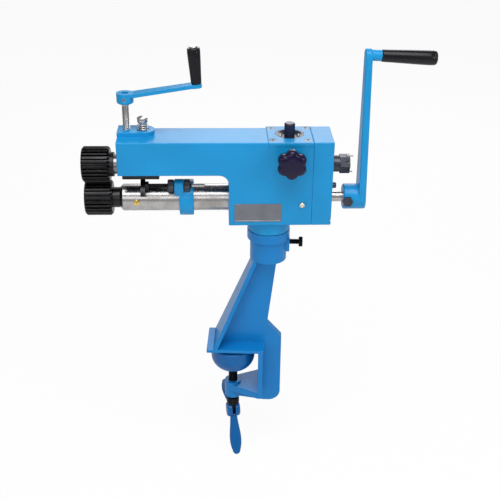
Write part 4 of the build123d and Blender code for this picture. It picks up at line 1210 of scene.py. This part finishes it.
for name, outline, foot, along in (
    ("main_grip", MAIN_GRIP, head(*MAIN_GRIP_FOOT), main_along),
    ("pressure_grip", PRESSURE_GRIP, head(*PRESS_GRIP_FOOT), pressure_along),
):
    bm = bmesh.new()
    turn_outline(bm, outline)
    place = axis_place(foot, along, (0, 1, 0))
    add_piece(name + "_moulded", bm, place, grip_plastic, name, "dark_plastic", name)

# name plate, left blank: a raised border round a sunk field
PLATE_CORNER = 1.6
PLATE_BORDER = 1.2
PLATE_SLOPE = 0.4
plate_low, plate_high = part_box("name_plate")
plate_x = (plate_low.x + plate_high.x) / 2
plate_z = (plate_low.z + plate_high.z) / 2
plate_place = axis_place((plate_x, plate_high.y, plate_z), (0, -1, 0), (1, 0, 0))
half_x, half_thick, half_z = (plate_high - plate_low) / MM / 2
bm = bmesh.new()
slab(
    bm,
    [(-half_x, -half_z), (half_x, -half_z), (half_x, half_z), (-half_x, half_z)],
    2 * half_thick,
    rounding=PLATE_CORNER,
    rounded=(0, 1, 2, 3),
)
field = [face for face in bm.faces if face.calc_center_median().z > 1.9 * half_thick]
bmesh.ops.inset_region(bm, faces=field, thickness=PLATE_BORDER)
bmesh.ops.inset_region(bm, faces=field, thickness=PLATE_SLOPE, depth=-PLATE_SLOPE)
add_piece(
    "name_plate_blank",
    bm,
    plate_place,
    label_metal,
    "head",
    "label_metal",
    "name_plate",
)

# ball oiler: a rim round its sunk ball
OILER_X = 43.9
OILER_Z = 31.3
OILER_RADIUS = 3.0
OILER_FACE = [  # behind the face, radius
    (1.0, OILER_RADIUS),
    (1.0, 3.6),
    (0.4, 3.6),
    (0.0, 3.1),
    (0.0, 2.5),
    (0.9, 2.1),
    (1.0, 1.7),
    (0.5, 1.3),
    (0.2, 0.8),
    (0.1, 0),
]
oiler_place = front_place(OILER_X, OILER_Z)
oiler_low, oiler_front = reach_in("ball_oiler", oiler_place)
oiler_foot = [(oiler_low, 0), (oiler_low, OILER_RADIUS)]
bm = bmesh.new()
turn_outline(bm, oiler_foot + behind(oiler_front, OILER_FACE), segments=32)
add_piece("ball_oiler_turned", bm, oiler_place, pale_brass, "head", "brass", "ball_oiler")

# round screw heads in the post's dish
DISH_SCREW_REACH = 12.8
DISH_SCREW = [(119.4, 0), (119.4, 2.6), (121.0, 2.6), (121.8, 1.9), (122.2, 0.9), (122.3, 0)]
bm = bmesh.new()
for side in (-1, 1):
    known = set(bm.verts)
    turn_outline(bm, DISH_SCREW, segments=24)
    newest = [point for point in bm.verts if point not in known]
    bmesh.ops.translate(bm, vec=(DISH_SCREW_REACH * side, 0, 0), verts=newest)
add_piece(
    "post_dish_screws",
    bm,
    upright_place(KNOB_X),
    milled,
    "eccentric_post",
    "bright_steel",
)

# raised front edge of the top plate
FRONT = 37.2  # shaft plane to the front face
LIP_LEFT = -5.0
LIP_RIGHT = 57.1
LIP_LOW = 117.9
LIP_TOP = 122.7
LIP_THICK = 1.3
LIP_SUNK = 0.5
LIP_EASE = 0.4
bm = bmesh.new()
slab(
    bm,
    [(LIP_LEFT, LIP_LOW), (LIP_RIGHT, LIP_LOW), (LIP_RIGHT, LIP_TOP), (LIP_LEFT, LIP_TOP)],
    LIP_THICK,
    ease=LIP_EASE,
    turn=Matrix.Translation((0, 0, FRONT - LIP_SUNK)),
)
add_piece("top_plate_lip", bm, front_place(0, 0), head_blue, "head", "plate_paint")

# rounding of the throat's corner in both walls, and the housing's square foot
BACK = 25.0  # shaft plane to the back
WALL = 7.2
HOUSING_LEFT = -58.2
ARM_UNDER = 75.0
THROAT_ROUND = 13.0
THROAT_STEPS = 8
WEB_SUNK = 4.0
FOOT_RIGHT = -41.0
FOOT_TOP = 17.0
CORNER_EASE = 1.2
PROUD = 0.02
web = [
    (HOUSING_LEFT + WEB_SUNK, ARM_UNDER + WEB_SUNK),
    (HOUSING_LEFT - THROAT_ROUND, ARM_UNDER + WEB_SUNK),
]
for step in range(THROAT_STEPS + 1):
    turn = pi / 2 * (1 - step / THROAT_STEPS)
    across = THROAT_ROUND * (1 - cos(turn))
    down = THROAT_ROUND * (1 - sin(turn))
    web.append((HOUSING_LEFT - across, ARM_UNDER - down))
web.append((HOUSING_LEFT + WEB_SUNK, ARM_UNDER - THROAT_ROUND))
foot = [
    (HOUSING_LEFT - PROUD, -PROUD),
    (FOOT_RIGHT, -PROUD),
    (FOOT_RIGHT, FOOT_TOP),
    (HOUSING_LEFT - PROUD, FOOT_TOP),
]
bm = bmesh.new()
for outline, start, thickness in (
    (web, -BACK - PROUD, WALL + PROUD),
    (web, FRONT - WALL, WALL + PROUD),
    (foot, -BACK - PROUD, BACK + FRONT + 2 * PROUD),
):
    slab(bm, outline, thickness, ease=CORNER_EASE, turn=Matrix.Translation((0, 0, start)))
add_piece("housing_corners", bm, front_place(0, 0), head_blue, "head", "head_paint")


# ---------------------------------------------------------------- floor, light and camera
FLOOR_GAP = 0.0005
FLOOR_HALF = 6.0
FLOOR_GREY = 0.86
CAMERA_WHITE = 0.93  # share of plain white that the camera sees in the floor
SKY_STRENGTH = 0.30
WHITE = (1, 1, 1, 1)
floor_mesh = bpy.data.meshes.new("floor")
bm = bmesh.new()
bmesh.ops.create_grid(bm, x_segments=1, y_segments=1, size=FLOOR_HALF)
bmesh.ops.translate(bm, vec=(0, 0, cad_low.z - FLOOR_GAP), verts=bm.verts)
bm.to_mesh(floor_mesh)
bm.free()
floor = bpy.data.objects.new("floor", floor_mesh)
bpy.context.scene.collection.objects.link(floor)


def backdrop(tree, shaded):
    """Shows white to the camera, and keeps some of the floor's shadow."""
    camera_ray = add_node(tree, "ShaderNodeLightPath").outputs["Is Camera Ray"]
    share = add_node(
        tree,
        "ShaderNodeMath",
        {"operation": "MULTIPLY"},
        {1: CAMERA_WHITE},
        {0: camera_ray},
    )
    white = add_node(tree, "ShaderNodeEmission", values={"Color": WHITE, "Strength": 1.0})
    mix = add_node(
        tree,
        "ShaderNodeMixShader",
        links={0: share.outputs[0], 1: shaded, 2: white.outputs[0]},
    )
    return mix.outputs[0]


floor_material = bpy.data.materials.new("pale floor")
floor_material.use_nodes = True
floor_tree = floor_material.node_tree
floor_shader = floor_tree.nodes["Principled BSDF"]
floor_shader.inputs["Base Color"].default_value = (FLOOR_GREY, FLOOR_GREY, FLOOR_GREY, 1)
floor_shader.inputs["Roughness"].default_value = 0.9
floor_sink = floor_tree.nodes["Material Output"].inputs["Surface"]
floor_tree.links.new(backdrop(floor_tree, floor_shader.outputs[0]), floor_sink)
floor_mesh.materials.append(floor_material)

world = bpy.data.worlds.new("studio")
bpy.context.scene.world = world
world.use_nodes = True
world_tree = world.node_tree
rays = add_node(world_tree, "ShaderNodeLightPath").outputs
sky = world_tree.nodes["Background"]
sky.inputs["Color"].default_value = WHITE
sky.inputs["Strength"].default_value = SKY_STRENGTH
white_sky = add_node(
    world_tree,
    "ShaderNodeBackground",
    values={"Color": WHITE, "Strength": 1.0},
)
world_mix = add_node(
    world_tree,
    "ShaderNodeMixShader",
    links={0: rays["Is Camera Ray"], 1: sky.outputs[0], 2: white_sky.outputs[0]},
)
world_tree.links.new(world_mix.outputs[0], world_tree.nodes["World Output"].inputs["Surface"])

middle = (cad_low + cad_high) / 2


def softbox(name, place, size, power):
    """A square lamp that faces the object's middle."""
    lamp = bpy.data.lights.new(name, "AREA")
    lamp.shape = "SQUARE"
    lamp.size = size
    lamp.energy = power
    holder = bpy.data.objects.new(name, lamp)
    holder.location = Vector(place)
    holder.rotation_euler = (middle - holder.location).to_track_quat("-Z", "Y").to_euler()
    bpy.context.scene.collection.objects.link(holder)


softbox("top light", (0.05, -0.75, 1.9), 1.3, 28)
softbox("left light", (-1.5, -1.5, 0.9), 1.0, 7)
softbox("right light", (1.7, -1.3, 0.9), 1.0, 11)
softbox("front light", (-0.2, -1.9, 0.85), 0.7, 3)
softbox("back light", (0.3, 1.8, 1.1), 1.2, 12)

# camera fitted to the photograph's straight edges
CAMERA_PITCH = radians(27.948)
CAMERA_YAW = radians(2.761)
CAMERA_ROLL = radians(0.837)
CAMERA_DISTANCE = 1379.32
target = head(-14.352, 0, -88.822)
sight = Vector(
    (
        sin(CAMERA_YAW) * cos(CAMERA_PITCH),
        cos(CAMERA_YAW) * cos(CAMERA_PITCH),
        -sin(CAMERA_PITCH),
    )
)
level_right = Vector((cos(CAMERA_YAW), -sin(CAMERA_YAW), 0))
level_up = level_right.cross(sight)
right = level_right * cos(CAMERA_ROLL) + level_up * sin(CAMERA_ROLL)
up = level_up * cos(CAMERA_ROLL) - level_right * sin(CAMERA_ROLL)
camera_data = bpy.data.cameras.new("camera")
camera_data.sensor_width = 36.0
camera_data.lens = 66.68
camera_data.shift_x = -0.0162
camera_data.shift_y = 0.0377
camera_data.clip_end = 50.0
camera = bpy.data.objects.new("camera", camera_data)
facing = Matrix((right, up, -sight)).transposed().to_4x4()
camera.matrix_world = Matrix.Translation(target - sight * CAMERA_DISTANCE * MM) @ facing
bpy.context.scene.collection.objects.link(camera)
bpy.context.scene.camera = camera
bpy.context.scene.view_settings.view_transform = "Standard"

bpy.context.view_layer.update()
